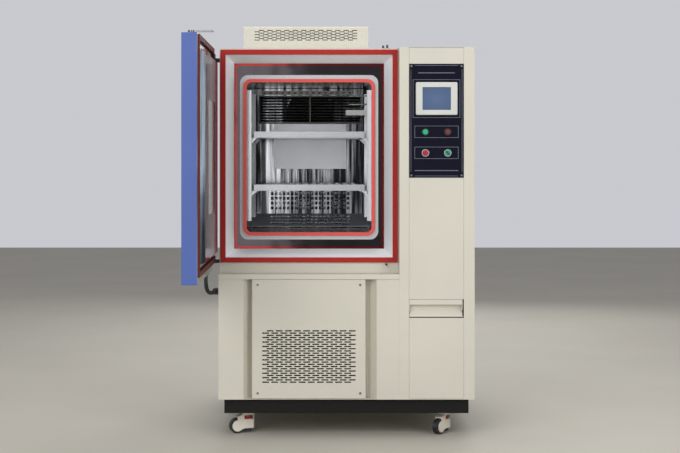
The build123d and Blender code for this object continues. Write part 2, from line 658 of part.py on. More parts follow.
def humidity_sensors():
    """The dry and the wet bulb on the right wall, the bracket that holds them and the wick's water trough."""
    wall = LINER_RIGHT
    foot = RUNNER_SHEET
    bracket_z = (TROUGH_TOP - TROUGH_HEIGHT, SENSOR_HEIGHTS[0] + 2 * SENSOR_ROD)
    pieces = [slab((wall - foot, wall), around(SENSOR_Y, TROUGH_DEPTH), bracket_z)]
    for height in SENSOR_HEIGHTS:
        tip = (wall - SENSOR_REACH, SENSOR_Y, height)
        pieces.append(bar((wall - foot, SENSOR_Y, height), tip, SENSOR_ROD))
    x = (wall - foot - TROUGH_LENGTH, wall - foot)
    y, z = around(SENSOR_Y, TROUGH_DEPTH), (TROUGH_TOP - TROUGH_HEIGHT, TROUGH_TOP)
    thin = TROUGH_WALL
    trough = slab(x, y, z) - slab((x[0] + thin, x[1] - thin), (y[0] + thin, y[1] - thin), (z[0] + thin, z[1]))
    return pieces[0].fuse(*pieces[1:], trough)


COIL_WIDTH = 360.0
COIL_HEIGHT = 210.0
COIL_DEPTH = 70.0
COIL_BOTTOM = 90.0
COIL_FINS = 12
COIL_FIN = 1.0
COIL_TUBE = 12.0
COIL_TUBES = 3


def evaporator_coil():
    """The finned cooling coil with flat tubes, on two end plates that stand on the liner's floor."""
    x = around(LINER_X, COIL_WIDTH)
    y = around((DUCT_WALL + LINER_BACK) / 2, COIL_DEPTH)
    z = (LINER_BOTTOM + COIL_BOTTOM, LINER_BOTTOM + COIL_BOTTOM + COIL_HEIGHT)
    plates = []
    for end in ((x[0], x[0] + RUNNER_SHEET), (x[1] - RUNNER_SHEET, x[1])):
        plates.append(slab(end, y, (LINER_BOTTOM, z[1])))
    pitch = COIL_WIDTH / (COIL_FINS + 1)
    for fin in range(COIL_FINS):
        plates.append(slab(around(x[0] + (fin + 1) * pitch, COIL_FIN), y, z))
    coil = plates[0].fuse(*plates[1:])
    tube_x, tube_y = (x[0] - COIL_TUBE, x[1] + COIL_TUBE), around((y[0] + y[1]) / 2, COIL_TUBE)
    for tube in range(COIL_TUBES):
        height = z[0] + (tube + 0.5) * COIL_HEIGHT / COIL_TUBES
        coil += slab(tube_x, tube_y, around(height, COIL_TUBE))
    return coil


HEATER_WIDTH = 330.0
HEATER_ROD = 8.0
HEATER_RODS = 3
HEATER_BOTTOM = 336.0
HEATER_PITCH = 22.0
HEATER_END = 18.0


def heater():
    """Three straight heating rods between two brackets on the liner's back."""
    x = around(LINER_X, HEATER_WIDTH)
    rod_y = LINER_BACK - DUCT_DEPTH / 3
    low = LINER_BOTTOM + HEATER_BOTTOM
    z = (low - HEATER_END, low + (HEATER_RODS - 1) * HEATER_PITCH + HEATER_END)
    rack = None
    for end in ((x[0], x[0] + RUNNER_SHEET), (x[1] - RUNNER_SHEET, x[1])):
        bracket = slab(end, (rod_y - HEATER_END, LINER_BACK), z)
        rack = bracket if rack is None else rack + bracket
    for rod in range(HEATER_RODS):
        height = low + rod * HEATER_PITCH
        rack += bar((x[0] - HEATER_ROD, rod_y, height), (x[1] + HEATER_ROD, rod_y, height), HEATER_ROD)
    return rack


def circulation_fan():
    """The duct fan: a back disc, straight blades and a shaft that reaches through the wall into the motor."""
    front = DUCT_WALL + FAN_FROM_DUCT_WALL
    disc_y = front + FAN_WIDTH
    centre = (LINER_X, FAN_CENTRE_Z)
    wheel = bar((centre[0], disc_y, centre[1]), (centre[0], disc_y + RUNNER_SHEET, centre[1]), FAN_DIAMETER)
    wheel += bar((centre[0], front, centre[1]), (centre[0], disc_y, centre[1]), 3 * FAN_SHAFT)
    root, tip = FAN_SHAFT, FAN_DIAMETER / 2 - RUNNER_SHEET
    blade = Box(tip - root, FAN_WIDTH, RUNNER_SHEET)
    for number in range(FAN_BLADES):
        turned = Rot(0, number * 360 / FAN_BLADES, 0) * Pos((root + tip) / 2, 0, 0) * blade
        wheel += Pos(centre[0], front + FAN_WIDTH / 2, centre[1]) * turned
    shaft_end = BULKHEAD + SHEET + MOTOR_LENGTH / 2
    return wheel + bar((centre[0], disc_y, centre[1]), (centre[0], shaft_end, centre[1]), FAN_SHAFT)


def fan_motor():
    """The duct fan's motor on the bulkhead, with a bore that the shaft runs in."""
    start = BULKHEAD + SHEET
    end = start + MOTOR_LENGTH
    x, z = LINER_X, FAN_CENTRE_Z
    flange_y = (start, start + RUNNER_SHEET)
    flange = slab(around(x, MOTOR_DIAMETER + 2 * FAN_SHAFT), flange_y, around(z, MOTOR_DIAMETER))
    motor = flange + bar((x, start, z), (x, end, z), MOTOR_DIAMETER)
    motor = chamfer(motor.faces().sort_by(Axis.Y)[-1].edges(), FAN_SHAFT / 2)
    bore_end = start + MOTOR_LENGTH / 2 + FAN_SHAFT
    return motor - bar((x, start, z), (x, bore_end, z), FAN_SHAFT + 2 * RUNNING_GAP)


def top_cover():
    """The vented box on the roof, with its slots in the front face."""
    x = around(LINER_X - FAN_SHAFT - RUNNER_SHEET, COVER_WIDTH)
    y = (COVER_FRONT, COVER_FRONT + COVER_DEPTH)
    z = (BODY_TOP, BODY_TOP + COVER_HEIGHT)
    cover = slab(x, y, z)
    cover = chamfer(cover.edges().filter_by(Axis.X).sort_by(Axis.Z)[-2:], RUNNER_HEIGHT / 2)
    cover -= slab((x[0] + SHEET, x[1] - SHEET), (y[0] + SHEET, y[1] - SHEET), (z[0], z[1] - 2 * SHEET))
    size = (COVER_SLOT_LENGTH, COVER_SLOT_HEIGHT)
    pitch = (COVER_SLOT_PITCH_X, COVER_SLOT_PITCH_Z)
    count = (COVER_SLOT_COLUMNS, COVER_SLOT_ROWS)
    deep = (y[0] - SHEET, y[0] + 2 * SHEET)
    return cover - staggered(*count, *pitch, (x[0] + x[1]) / 2, z[0] + COVER_SLOTS_BOTTOM, size, deep)


def column_shell():
    """The control column's casing: stiles beside an open front, and a deck that the drawer slides on."""
    x, y, z = (COLUMN_LEFT, RIGHT), (0, BODY_DEPTH), (FLOOR_PAN, BODY_TOP)
    inside_x = (x[0] + SHEET, x[1] - SHEET)
    shell = slab(x, y, z) - slab(inside_x, (y[0] + SHEET, y[1] - SHEET), (z[0] + SHEET, z[1] - SHEET))
    shell -= slab((PANEL_LEFT, PANEL_RIGHT), (y[0] - SHEET, y[0] + 2 * SHEET), (z[0] + SHEET, z[1] - SHEET))
    deck_top = DRAWER_BOTTOM + DRAWER_GAP_LOW - SLIDE_GAP
    deck_y = (PANEL_FLANGE + SHEET, PANEL_FLANGE + SHEET + TRAY_DEPTH)
    shell += slab(inside_x, deck_y, (deck_top - SHEET, deck_top))
    rail_x = (PANEL_LEFT - SHEET, PANEL_RIGHT + SHEET)
    for height in (DRAWER_BOTTOM - TRIM_GAP - PANEL_FLANGE, DRAWER_TOP + TRIM_GAP):
        shell += slab(rail_x, (SHEET, 2 * SHEET), (height, height + PANEL_FLANGE))
    return shell


def column_panels():
    """The column's upper and lower front panels, pans with a folded flange."""
    pieces = []
    lower = (FLOOR_PAN + SHEET + TRIM_GAP, DRAWER_BOTTOM - TRIM_GAP)
    upper = (DRAWER_TOP, BODY_TOP - SHEET - TRIM_GAP)
    for z in (lower, upper):
        x = (PANEL_LEFT + TRIM_GAP / 2, PANEL_RIGHT - TRIM_GAP / 2)
        pan = plate(x, (0, SHEET), z)
        inner_x = (x[0] + SHEET, x[1] - SHEET)
        rim = slab(inner_x, (SHEET, PANEL_FLANGE), (z[0] + PANEL_FLANGE + SHEET, z[1] - PANEL_FLANGE - SHEET))
        rim -= slab((inner_x[0] + SHEET, inner_x[1] - SHEET), (SHEET, PANEL_FLANGE), z)
        pieces.append(pan.fuse(*rim.solids()))
    return group(pieces)


def fill_drawer():
    """The water drawer: a front with a finger pocket above a sloping lip, and the tray behind it."""
    x = (PANEL_LEFT + TRIM_GAP, PANEL_RIGHT - DRAWER_GAP_RIGHT)
    low, high = DRAWER_BOTTOM + DRAWER_GAP_LOW, DRAWER_TOP - TRIM_GAP
    pocket_top = high - DRAWER_STRIP
    pocket_low = pocket_top - POCKET_HEIGHT
    back = POCKET_DEPTH + SHEET
    section = [(0, high), (back, high), (back, low), (0, low), (0, low + SHEET)]
    section += [(POCKET_DEPTH - SHEET, pocket_low), (POCKET_DEPTH, pocket_low)]
    section += [(POCKET_DEPTH, pocket_top), (0, pocket_top)]
    side = Plane(origin=(x[0], 0, 0), x_dir=(0, 1, 0), z_dir=(1, 0, 0))
    front = extrude(side * make_face(Polyline(*section, close=True)), x[1] - x[0])
    for end in ((x[0], x[0] + SHEET), (x[1] - SHEET, x[1])):
        front += slab(end, (0, back), (pocket_low, pocket_top))
    tray_x = (x[0] + TRAY_SIDE, x[1] - TRAY_SIDE)
    tray_y, tray_z = (back, back + TRAY_DEPTH - 2 * SHEET), (low, low + TRAY_HEIGHT)
    tray = slab(tray_x, tray_y, tray_z)
    inner_y = (tray_y[0] + SHEET, tray_y[1] - SHEET)
    tray -= slab((tray_x[0] + SHEET, tray_x[1] - SHEET), inner_y, (low + SHEET, tray_z[1]))
    return front + tray


def control_plate():
    """The glossy control plate on the column's upper panel."""
    x = (PANEL_LEFT + TRIM_GAP / 2, PANEL_RIGHT - TRIM_GAP / 2)
    body = plate(x, (-PLATE_THICKNESS, 0), (PLATE_BOTTOM, PLATE_TOP))
    return chamfer(body.faces().sort_by(Axis.Y)[0].edges(), PLATE_THICKNESS / 4)


def hmi_bezel():
    """The touch panel's moulded bezel, with its window and a floor behind the screen."""
    x, z = around(PANEL_CENTRE, HMI_WIDTH), around(HMI_CENTRE_Z, HMI_HEIGHT)
    front = -PLATE_THICKNESS - HMI_PROUD
    bezel = plate(x, (front, -PLATE_THICKNESS), z, HMI_PROUD / 2)
    bezel = chamfer(bezel.faces().sort_by(Axis.Y)[0].edges(), SCREEN_RECESS / 2)
    window_x, window_z = around(PANEL_CENTRE, SCREEN_WIDTH), around(HMI_CENTRE_Z, SCREEN_HEIGHT)
    return bezel - plate(window_x, (front, front + 2 * SCREEN_RECESS), window_z)


def hmi_screen():
    """The touch screen's glass at the bottom of the bezel's window."""
    front = -PLATE_THICKNESS - HMI_PROUD + SCREEN_RECESS
    x, z = around(PANEL_CENTRE, SCREEN_WIDTH), around(HMI_CENTRE_Z, SCREEN_HEIGHT)
    return plate(x, (front, front + SCREEN_RECESS), z)


def control_places():
    """Where the two lamps and the two buttons stand, as X and Z."""
    left, right = around(PANEL_CENTRE, CONTROL_SPACING)
    lamps = [(left, LAMP_ROW_Z), (right, LAMP_ROW_Z)]
    return {"lamps": lamps, "stop": (left, BUTTON_ROW_Z), "light": (right, BUTTON_ROW_Z)}


def indicator_lamps():
    """Two indicator lenses with domed fronts, seated on the control plate."""
    lenses = []
    for x, z in control_places()["lamps"]:
        top = -PLATE_THICKNESS - CONTROL_RING_HEIGHT - BUTTON_PROUD / 2
        lens = bar((x, -PLATE_THICKNESS, z), (x, top, z), BUTTON_DIAMETER)
        lenses.append(chamfer(lens.faces().sort_by(Axis.Y)[0].edges(), BUTTON_PROUD / 2))
    return group(lenses)


def button_bezels():
    """The four bright rings round the lamps and the buttons."""
    places = control_places()
    rings = []
    for x, z in places["lamps"] + [places["stop"], places["light"]]:
        seat = (x, -PLATE_THICKNESS, z)
        ring_body = bar(seat, (x, -PLATE_THICKNESS - CONTROL_RING_HEIGHT, z), CONTROL_RING)
        bore = bar(seat, (x, -PLATE_THICKNESS - 2 * CONTROL_RING_HEIGHT, z), CONTROL_BORE)
        rings.append(ring_body - bore)
    return group(rings)


def push_button(place):
    """A round button that stands proud of its ring, with room behind it for its travel."""
    x, z = place
    rear = -PLATE_THICKNESS - BUTTON_TRAVEL - SLIDE_GAP
    front = -PLATE_THICKNESS - CONTROL_RING_HEIGHT - BUTTON_PROUD
    button = bar((x, rear, z), (x, front, z), BUTTON_DIAMETER)
    return chamfer(button.faces().sort_by(Axis.Y)[0].edges(), SLIDE_GAP * 3)


def selector_knob(place):
    """A turning knob with a raised finger bar, set slanting across its face."""
    x, z = place
    rear = -PLATE_THICKNESS - SLIDE_GAP
    face = -PLATE_THICKNESS - CONTROL_RING_HEIGHT - BUTTON_PROUD / 2
    knob = bar((x, rear, z), (x, face, z), BUTTON_DIAMETER)
    grip = Rot(0, 45, 0) * Box(BUTTON_DIAMETER - BUTTON_PROUD / 2, BUTTON_PROUD, BUTTON_PROUD)
    return knob + Pos(x, face - BUTTON_PROUD / 2 + SLIDE_GAP, z) * grip


GEAR_WIDTH = 300.0
GEAR_HEIGHT = 520.0
GEAR_BOTTOM = 720.0
GEAR_FRONT = 240.0
GEAR_ROWS = 3
GEAR_BLOCK = (45.0, 56.0, 80.0)
GEAR_BLOCKS = 4


def control_gear():
    """The mounting plate on the column's left wall, with rows of contactors and relays on it."""
    wall = COLUMN_LEFT + SHEET
    y, z = (GEAR_FRONT, GEAR_FRONT + GEAR_WIDTH), (GEAR_BOTTOM, GEAR_BOTTOM + GEAR_HEIGHT)
    board = slab((wall, wall + RUNNER_SHEET), y, z)
    row_pitch, block_pitch = GEAR_HEIGHT / GEAR_ROWS, GEAR_WIDTH / GEAR_BLOCKS
    depth, width, height = GEAR_BLOCK
    for row in range(GEAR_ROWS):
        row_z = z[0] + (row + 0.5) * row_pitch
        for number in range(GEAR_BLOCKS):
            place = y[0] + (number + 0.5) * block_pitch
            front = wall + RUNNER_SHEET + depth
            board += slab((wall + RUNNER_SHEET, front), around(place, width), around(row_z, height))
            board += slab((front, front + depth / 3), around(place, width), around(row_z, height / 2))
    return board


def compressor():
    """The sealed compressor: a pot with sloping shoulders on a foot plate."""
    pan = FLOOR_PAN + SHEET
    foot = RUNNER_SHEET * 2
    pot = bar((0, 0, pan + foot), (0, 0, pan + foot + COMPRESSOR_HEIGHT), COMPRESSOR_DIAMETER)
    pot = chamfer(pot.edges().filter_by(GeomType.CIRCLE), COMPRESSOR_DIAMETER / 8)
    plate_size = around(0, COMPRESSOR_DIAMETER + 2 * FAN_SHAFT)
    pot += slab(plate_size, plate_size, (pan, pan + foot))
    return Pos(LINER_X, COMPRESSOR_Y, 0) * pot


def condenser_coil():
    """The finned condenser behind the vented panel, its fan shroud and the motor on a cross bar."""
    x = around(LINER_X, CONDENSER_WIDTH)
    pan = FLOOR_PAN + SHEET
    z = (pan, pan + CONDENSER_HEIGHT)
    front = CONDENSER_FROM_FRONT
    back = front + CONDENSER_THICKNESS
    edge = RUNNER_HEIGHT / 2
    frame = ring(x, (front, back), z, edge)
    fins = []
    pitch = (CONDENSER_WIDTH - 2 * edge) / (COIL_FINS + 1)
    for fin in range(COIL_FINS):
        fin_x = around(x[0] + edge + (fin + 1) * pitch, COIL_FIN)
        fins.append(slab(fin_x, (front + edge, back), (z[0] + edge, z[1] - edge)))
    frame = frame.fuse(*fins)
    shroud = slab(x, (back, back + SHROUD_DEPTH), z)
    hollow_y = (back, back + SHROUD_DEPTH - SHEET)
    shroud -= slab((x[0] + SHEET, x[1] - SHEET), hollow_y, (z[0] + SHEET, z[1] - SHEET))
    centre_z = (z[0] + z[1]) / 2
    hole = CONDENSER_FAN_DIAMETER + 2 * edge
    end = back + SHROUD_DEPTH
    shroud -= bar((LINER_X, back, centre_z), (LINER_X, end + SHEET, centre_z), hole)
    motor_bar = slab(x, (end, end + SHEET), around(centre_z, 3 * FAN_SHAFT))
    motor_end = (LINER_X, end + SHEET + 3 * FAN_SHAFT, centre_z)
    drive = motor_bar + bar((LINER_X, end + SHEET, centre_z), motor_end, 5 * FAN_SHAFT)
    bore_end = (LINER_X, end + 3 * FAN_SHAFT, centre_z)
    drive -= bar((LINER_X, end, centre_z), bore_end, FAN_SHAFT + 2 * RUNNING_GAP)
    return group([frame, shroud, drive])


def condenser_fan_place():
    """The condenser fan's centre: X, the Y of its hub's middle, Z."""
    end = CONDENSER_FROM_FRONT + CONDENSER_THICKNESS + SHROUD_DEPTH
    return LINER_X, end - SHEET - CONDENSER_FAN_WIDTH / 2, FLOOR_PAN + SHEET + CONDENSER_HEIGHT / 2


def condenser_fan():
    """The condenser's axial fan: a hub with pitched blades, on a shaft in the motor."""
    x, y, z = condenser_fan_place()
    half = CONDENSER_FAN_WIDTH / 2
    hub_radius = 2 * FAN_SHAFT
    fan = bar((x, y - half, z), (x, y + half, z), 2 * hub_radius)
    root, tip = hub_radius - RUNNER_SHEET, CONDENSER_FAN_DIAMETER / 2
    blade = Rot(30, 0, 0) * Box(tip - root, CONDENSER_FAN_WIDTH, RUNNER_SHEET)
    for number in range(CONDENSER_BLADES):
        turned = Rot(0, number * 360 / CONDENSER_BLADES, 0) * Pos((root + tip) / 2, 0, 0) * blade
        fan += Pos(x, y, z) * turned
    return fan + bar((x, y + half, z), (x, y + half + SHEET + 2 * FAN_SHAFT, z), FAN_SHAFT)


def hinge_heights():
    """The underside of each fixed knuckle, at the bottom and at the top of the door."""
    pair = 2 * HINGE_KNUCKLE_HEIGHT + SLIDE_GAP
    return DOOR_BOTTOM + HINGE_INSET, DOOR_TOP - HINGE_INSET - pair


def keeper_pin_place():
    """The pin that the latch's nose closes behind."""
    reach = CAM_REACH - CAM_NOSE_THICKNESS - KEEPER_GAP - KEEPER_PIN_DIAMETER / 2
    return ROD_X + KEEPER_PIN_DIAMETER / 2 + TRIM_GAP, ROD_DEPTH + reach


def cabinet_fittings():
    """Black fittings on the body: hinge brackets with their pins, the latch keeper and the conduit gland."""
    pieces = []
    knuckle = HINGE_KNUCKLE_DIAMETER
    for low in hinge_heights():
        high = low + HINGE_KNUCKLE_HEIGHT
        bracket = bar((HINGE_X, HINGE_Y, low), (HINGE_X, HINGE_Y, high), knuckle)
        arm_y = (HINGE_Y, CHAMBER_FRONT + 2 * knuckle)
        bracket += slab((HINGE_X - knuckle / 2, LEFT), (CHAMBER_FRONT, arm_y[1]), (low, high))
        bracket += slab(around(HINGE_X, knuckle), arm_y, (low, high))
        pin_top = (HINGE_X, HINGE_Y, high + HINGE_KNUCKLE_HEIGHT)
        bracket += bar((HINGE_X, HINGE_Y, high), pin_top, HINGE_PIN_DIAMETER)
        pieces.append(bracket)
    x, y = keeper_pin_place()
    stop_x, stop_y = ROD_X - KEEPER_PIN_DIAMETER - KEEPER_GAP, y + KEEPER_STOP_BEHIND
    size = KEEPER_PIN_DIAMETER
    plate_z = (BODY_TOP, BODY_TOP + KEEPER_PLATE)
    keeper = slab((stop_x - size, x + size), (y - size, stop_y + size), plate_z)
    for pin_x, pin_y in ((x, y), (stop_x, stop_y)):
        keeper += bar((pin_x, pin_y, plate_z[1]), (pin_x, pin_y, BODY_TOP + KEEPER_PIN_HEIGHT), size)
    pieces.append(keeper)
    end_x, end_y, end_z = CONDUIT_ROUTE[-1]
    elbow = bar((end_x, end_y, end_z), (end_x, end_y + GLAND_DIAMETER, end_z), GLAND_DIAMETER)
    elbow += slab((end_x, LEFT), (end_y, end_y + GLAND_DIAMETER), around(end_z, GLAND_DIAMETER))
    pieces.append(elbow)
    return group(pieces)


def door_cup(extra):
    """The block of space that the lever's cup takes up in the closed door, grown by a wall."""
    right = ROD_X + CUP_BEYOND_ROD
    x = (right - CUP_WIDTH - extra, right + extra)
    z = (CUP_CENTRE_Z - CUP_HEIGHT / 2 - extra, CUP_CENTRE_Z + CUP_HEIGHT / 2 + extra)
    return slab(x, (0, CUP_DEPTH + extra), z)


def door_shell():
    """The painted door pan with its window opening, its lever cup and the holes for the latch rod."""
    x, z = (LEFT, DOOR_RIGHT), (DOOR_BOTTOM, DOOR_TOP)
    wall = DOOR_SHEET
    pan = slab(x, (0, DOOR_THICKNESS - wall), z)
    pan -= slab((x[0] + wall, x[1] - wall), (wall, DOOR_THICKNESS - wall), (z[0] + wall, z[1] - wall))
    window_x, window_z = around(LINER_X, WINDOW_WIDTH), around(LINER_CENTRE_Z, WINDOW_HEIGHT)
    pan -= plate(window_x, (-wall, 2 * wall), window_z, WINDOW_CORNER)
    pan = pan + door_cup(wall) - door_cup(0)
    hole = ROD_DIAMETER + 2 * RUNNING_GAP
    pan -= bar((ROD_X, ROD_DEPTH, z[0] - wall), (ROD_X, ROD_DEPTH, z[1] + wall), hole)
    return swing_open(pan)


def door_liner():
    """The polished door lining: a flat border, a raised plug with tapered sides and the window's tunnel."""
    wall = DOOR_SHEET
    back = DOOR_THICKNESS
    centre = (LINER_X, LINER_CENTRE_Z)
    sheet = plate((LEFT, DOOR_RIGHT), (back - wall, back), (DOOR_BOTTOM, DOOR_TOP))
    end = back + PLUG_DEPTH
    wide, narrow = (PLUG_WIDTH, PLUG_HEIGHT), (PLUG_WIDTH - 2 * PLUG_TAPER, PLUG_HEIGHT - 2 * PLUG_TAPER)
    plug = tapered(wide, narrow, (back, end), centre)
    thin_wide, thin_narrow = [v - 2 * wall for v in wide], [v - 2 * wall for v in narrow]
    hollow = tapered(thin_wide, thin_narrow, (back, end - wall), centre)
    hollow += plate(around(centre[0], thin_wide[0]), (back - wall, back), around(centre[1], thin_wide[1]))
    sheet = sheet + plug - hollow
    window_x, window_z = around(centre[0], WINDOW_WIDTH), around(centre[1], WINDOW_HEIGHT)
    sheet -= plate(window_x, (end - 2 * wall, end + wall), window_z, WINDOW_CORNER)
    tunnel = ring(*window_block((wall, end - wall), WINDOW_REBATE + FRAME_LIP), WINDOW_REBATE + FRAME_LIP)
    return swing_open((sheet + tunnel).cut(*panes()))


def window_block(y, reach):
    """The window's outline, grown by a reach on every side, as ranges in X, Y and Z."""
    return around(LINER_X, WINDOW_WIDTH + 2 * reach), y, around(LINER_CENTRE_Z, WINDOW_HEIGHT + 2 * reach)


def panes():
    """The outer and the inner pane as they stand in the closed door, each behind its own skin."""
    end = DOOR_THICKNESS + PLUG_DEPTH - DOOR_SHEET
    depths = ((DOOR_SHEET, DOOR_SHEET + PANE), (end - PANE, end))
    return [slab(*window_block(y, WINDOW_REBATE)) for y in depths]


def window_glass():
    """The window's two panes."""
    return group([swing_open(pane) for pane in panes()])


def door_gasket():
    """The door's dark gasket, which meets the outer seal."""
    y = (DOOR_THICKNESS, DOOR_THICKNESS + GASKET_DEPTH)
    return swing_open(ring((SEAL_LEFT, SEAL_RIGHT), y, (SEAL_BOTTOM, SEAL_TOP), SEAL_WIDTH))


def door_fittings():
    """Black fittings on the door: the hinge leaves and the conduit gland under it."""
    pieces = []
    knuckle = HINGE_KNUCKLE_DIAMETER
    bore = HINGE_PIN_DIAMETER + 2 * RUNNING_GAP
    for low in hinge_heights():
        base = low + HINGE_KNUCKLE_HEIGHT + SLIDE_GAP
        top = base + HINGE_KNUCKLE_HEIGHT
        leaf = bar((HINGE_X, HINGE_Y, base), (HINGE_X, HINGE_Y, top), knuckle)
        leaf += slab((HINGE_X, LEFT), (HINGE_Y - HINGE_LEAF_THICKNESS, HINGE_Y), (base, top))
        leaf += slab((LEFT - HINGE_LEAF_THICKNESS / 2, LEFT), (HINGE_Y - 2 * knuckle, HINGE_Y), (base, top))
        leaf -= bar((HINGE_X, HINGE_Y, base), (HINGE_X, HINGE_Y, top), bore)
        pieces.append(swing_open(leaf))
    x, y, z = CONDUIT_ROUTE[0]
    pieces.append(bar((x, y, DOOR_BOTTOM), (x, y, z), GLAND_DIAMETER))
    return group(pieces)


def latch_lever():
    """The latch: a rod through the door, the flush lever in its cup and the hooked cam over the door's top."""
    cam_low = DOOR_TOP + CAM_LIFT
    rod = bar((ROD_X, ROD_DEPTH, DOOR_BOTTOM), (ROD_X, ROD_DEPTH, cam_low + CAM_THICKNESS), ROD_DIAMETER)
    z = around(CUP_CENTRE_Z, LEVER_HEIGHT)
    hub = bar((ROD_X, ROD_DEPTH, z[0]), (ROD_X, ROD_DEPTH, z[1]), LEVER_HUB)
    face = (DOOR_SHEET, DOOR_SHEET + LEVER_THICKNESS)
    paddle = slab((ROD_X - LEVER_LENGTH, ROD_X + LEVER_HUB / 2), face, z)
    neck = slab(around(ROD_X, LEVER_HUB), (face[0], ROD_DEPTH), z)
    tip = ROD_DEPTH + CAM_REACH
    cam_z = (cam_low, cam_low + CAM_THICKNESS)
    cam = bar((ROD_X, ROD_DEPTH, DOOR_TOP + SLIDE_GAP), (ROD_X, ROD_DEPTH, cam_z[1]), LEVER_HUB)
    arm_left = ROD_X - KEEPER_GAP + TRIM_GAP - CAM_WIDTH
    cam += slab((arm_left, arm_left + CAM_WIDTH), (ROD_DEPTH, tip), cam_z)
    cam += slab((arm_left, arm_left + CAM_WIDTH + CAM_NOSE), (tip - CAM_NOSE_THICKNESS, tip), cam_z)
    return swing_open(rod + hub + paddle + neck + cam)


SWITCH_DIAMETER = 8.0
SWITCH_TIP_GAP = 1.0
SWITCH_INSIDE = 22.0
SWITCH_Z = 676.0


def switch_hole():
    """The hole that the door switch's plunger slides in."""
    start, end = (ROD_X, CHAMBER_FRONT - SHEET, SWITCH_Z), (ROD_X, CHAMBER_FRONT + 2 * SHEET, SWITCH_Z)
    return bar(start, end, SWITCH_DIAMETER + 2 * RUNNING_GAP)


def door_switch():
    """The door switch's sprung plunger, with its collar behind the flange."""
    tip, end = DOOR_THICKNESS + SWITCH_TIP_GAP, CHAMBER_FRONT + SHEET + SWITCH_INSIDE
    plunger = bar((ROD_X, tip, SWITCH_Z), (ROD_X, end, SWITCH_Z), SWITCH_DIAMETER)
    plunger = chamfer(plunger.faces().sort_by(Axis.Y)[0].edges(), SWITCH_DIAMETER / 6)
    behind = CHAMBER_FRONT + SHEET + SLIDE_GAP
    collar = bar((ROD_X, behind, SWITCH_Z), (ROD_X, behind + 2 * SHEET, SWITCH_Z), 2 * SWITCH_DIAMETER)
    return plunger + collar


def door_conduit():
    """The corrugated conduit's plain tube, on straight runs joined by arcs."""
    points = [Vector(*place) for place in CONDUIT_ROUTE]
    runs = [b - a for a, b in zip(points, points[1:])]
    radii = []
    for before, after in zip(runs, runs[1:]):
        half_turn = math.radians(before.get_angle(after) / 2)
        radii.append(0.45 * min(before.length, after.length) / math.tan(half_turn))
    print("conduit radii", [round(r) for r in radii])
    path = FilletPolyline(*points, radius=radii)
    start = Plane(origin=points[0], z_dir=runs[0])
    return sweep(start * Circle(CONDUIT_DIAMETER / 2), path=path)


def caster_places():
    """Each caster's name, X and Y."""
    x, y = BODY_WIDTH / 2 - CASTER_INSET_X, CASTER_INSET_Y
    rear = BODY_DEPTH - CASTER_INSET_Y
    return {"front_left": (-x, y), "front_right": (x, y), "rear_left": (-x, rear), "rear_right": (x, rear)}


def caster_mount(x, y):
    """A caster's top plate with its boss and the kingpin that the housing swivels on."""
    top = CASTER_HEIGHT
    low = top - CASTER_PLATE_THICKNESS
    mount = slab(around(x, CASTER_PLATE), around(y, CASTER_PLATE), (low, top))
    mount += bar((x, y, HOUSING_TOP + SLIDE_GAP), (x, y, low), HOUSING_WIDTH)
    return mount + bar((x, y, THUMB_BOTTOM + THUMB_HEIGHT + 5 * TRIM_GAP), (x, y, low), STEM_DIAMETER)


def caster_housing():
    """A caster's body about its swivel axis: block, cheeks and mudguard, with the thumb wheel's window."""
    half = HOUSING_LENGTH / 2
    axle_z = WHEEL_DIAMETER / 2
    gap = TRIM_GAP
    cheek_y = around(0, WHEEL_WIDTH + 2 * gap + 2 * CHEEK)
    block = slab((-half, half), around(0, HOUSING_WIDTH), (HOUSING_BOTTOM, HOUSING_TOP))
    block = fillet(block.edges().filter_by(Axis.Z), HOUSING_WIDTH / 4)
    arm = [(0, HOUSING_BOTTOM), (FOOT_DIAMETER / 2 + 2 * gap, HOUSING_BOTTOM)]
    arm += [(WHEEL_OFFSET, axle_z - CHEEK_DIAMETER / 2), (WHEEL_OFFSET, axle_z + CHEEK_DIAMETER / 2)]
    arm += [(WHEEL_OFFSET, axle_z + WHEEL_DIAMETER / 2 + 2 * CHEEK), (half, HOUSING_TOP - AXLE_DIAMETER)]
    arm.append((0, HOUSING_TOP - AXLE_DIAMETER))
    outline = make_face(Polyline(*arm, close=True))
    fork = extrude(facing(0, cheek_y[0], 0) * outline, -(cheek_y[1] - cheek_y[0]))
    fork += bar((WHEEL_OFFSET, cheek_y[0], axle_z), (WHEEL_OFFSET, cheek_y[1], axle_z), CHEEK_DIAMETER)
    room = around(0, WHEEL_WIDTH + 2 * gap)
    wheel_room = bar((WHEEL_OFFSET, room[0], axle_z), (WHEEL_OFFSET, room[1], axle_z), WHEEL_DIAMETER + 4 * gap)
    axle = bar((WHEEL_OFFSET, cheek_y[0], axle_z), (WHEEL_OFFSET, cheek_y[1], axle_z), AXLE_DIAMETER)
    housing = block + fork - wheel_room + axle
    window_z = (THUMB_BOTTOM - SLIDE_GAP, THUMB_BOTTOM + THUMB_HEIGHT + SLIDE_GAP)
    window = around(0, THUMB_DIAMETER + 2 * gap)
    housing -= slab(window, around(0, HOUSING_WIDTH + HOUSING_LENGTH), window_z)
    housing -= bar((0, 0, HOUSING_BOTTOM), (0, 0, window_z[0]), STEM_DIAMETER + 2 * RUNNING_GAP)
    return housing - bar((0, 0, window_z[1]), (0, 0, HOUSING_TOP), STEM_DIAMETER + 2 * RUNNING_GAP)


def caster_wheel():
    """A caster's wheel, bored to turn on its axle."""
    axle_z = WHEEL_DIAMETER / 2
    y = around(0, WHEEL_WIDTH)
    wheel = bar((WHEEL_OFFSET, y[0], axle_z), (WHEEL_OFFSET, y[1], axle_z), WHEEL_DIAMETER)
    bore = AXLE_DIAMETER + 2 * RUNNING_GAP
    return wheel - bar((WHEEL_OFFSET, y[0], axle_z), (WHEEL_OFFSET, y[1], axle_z), bore)


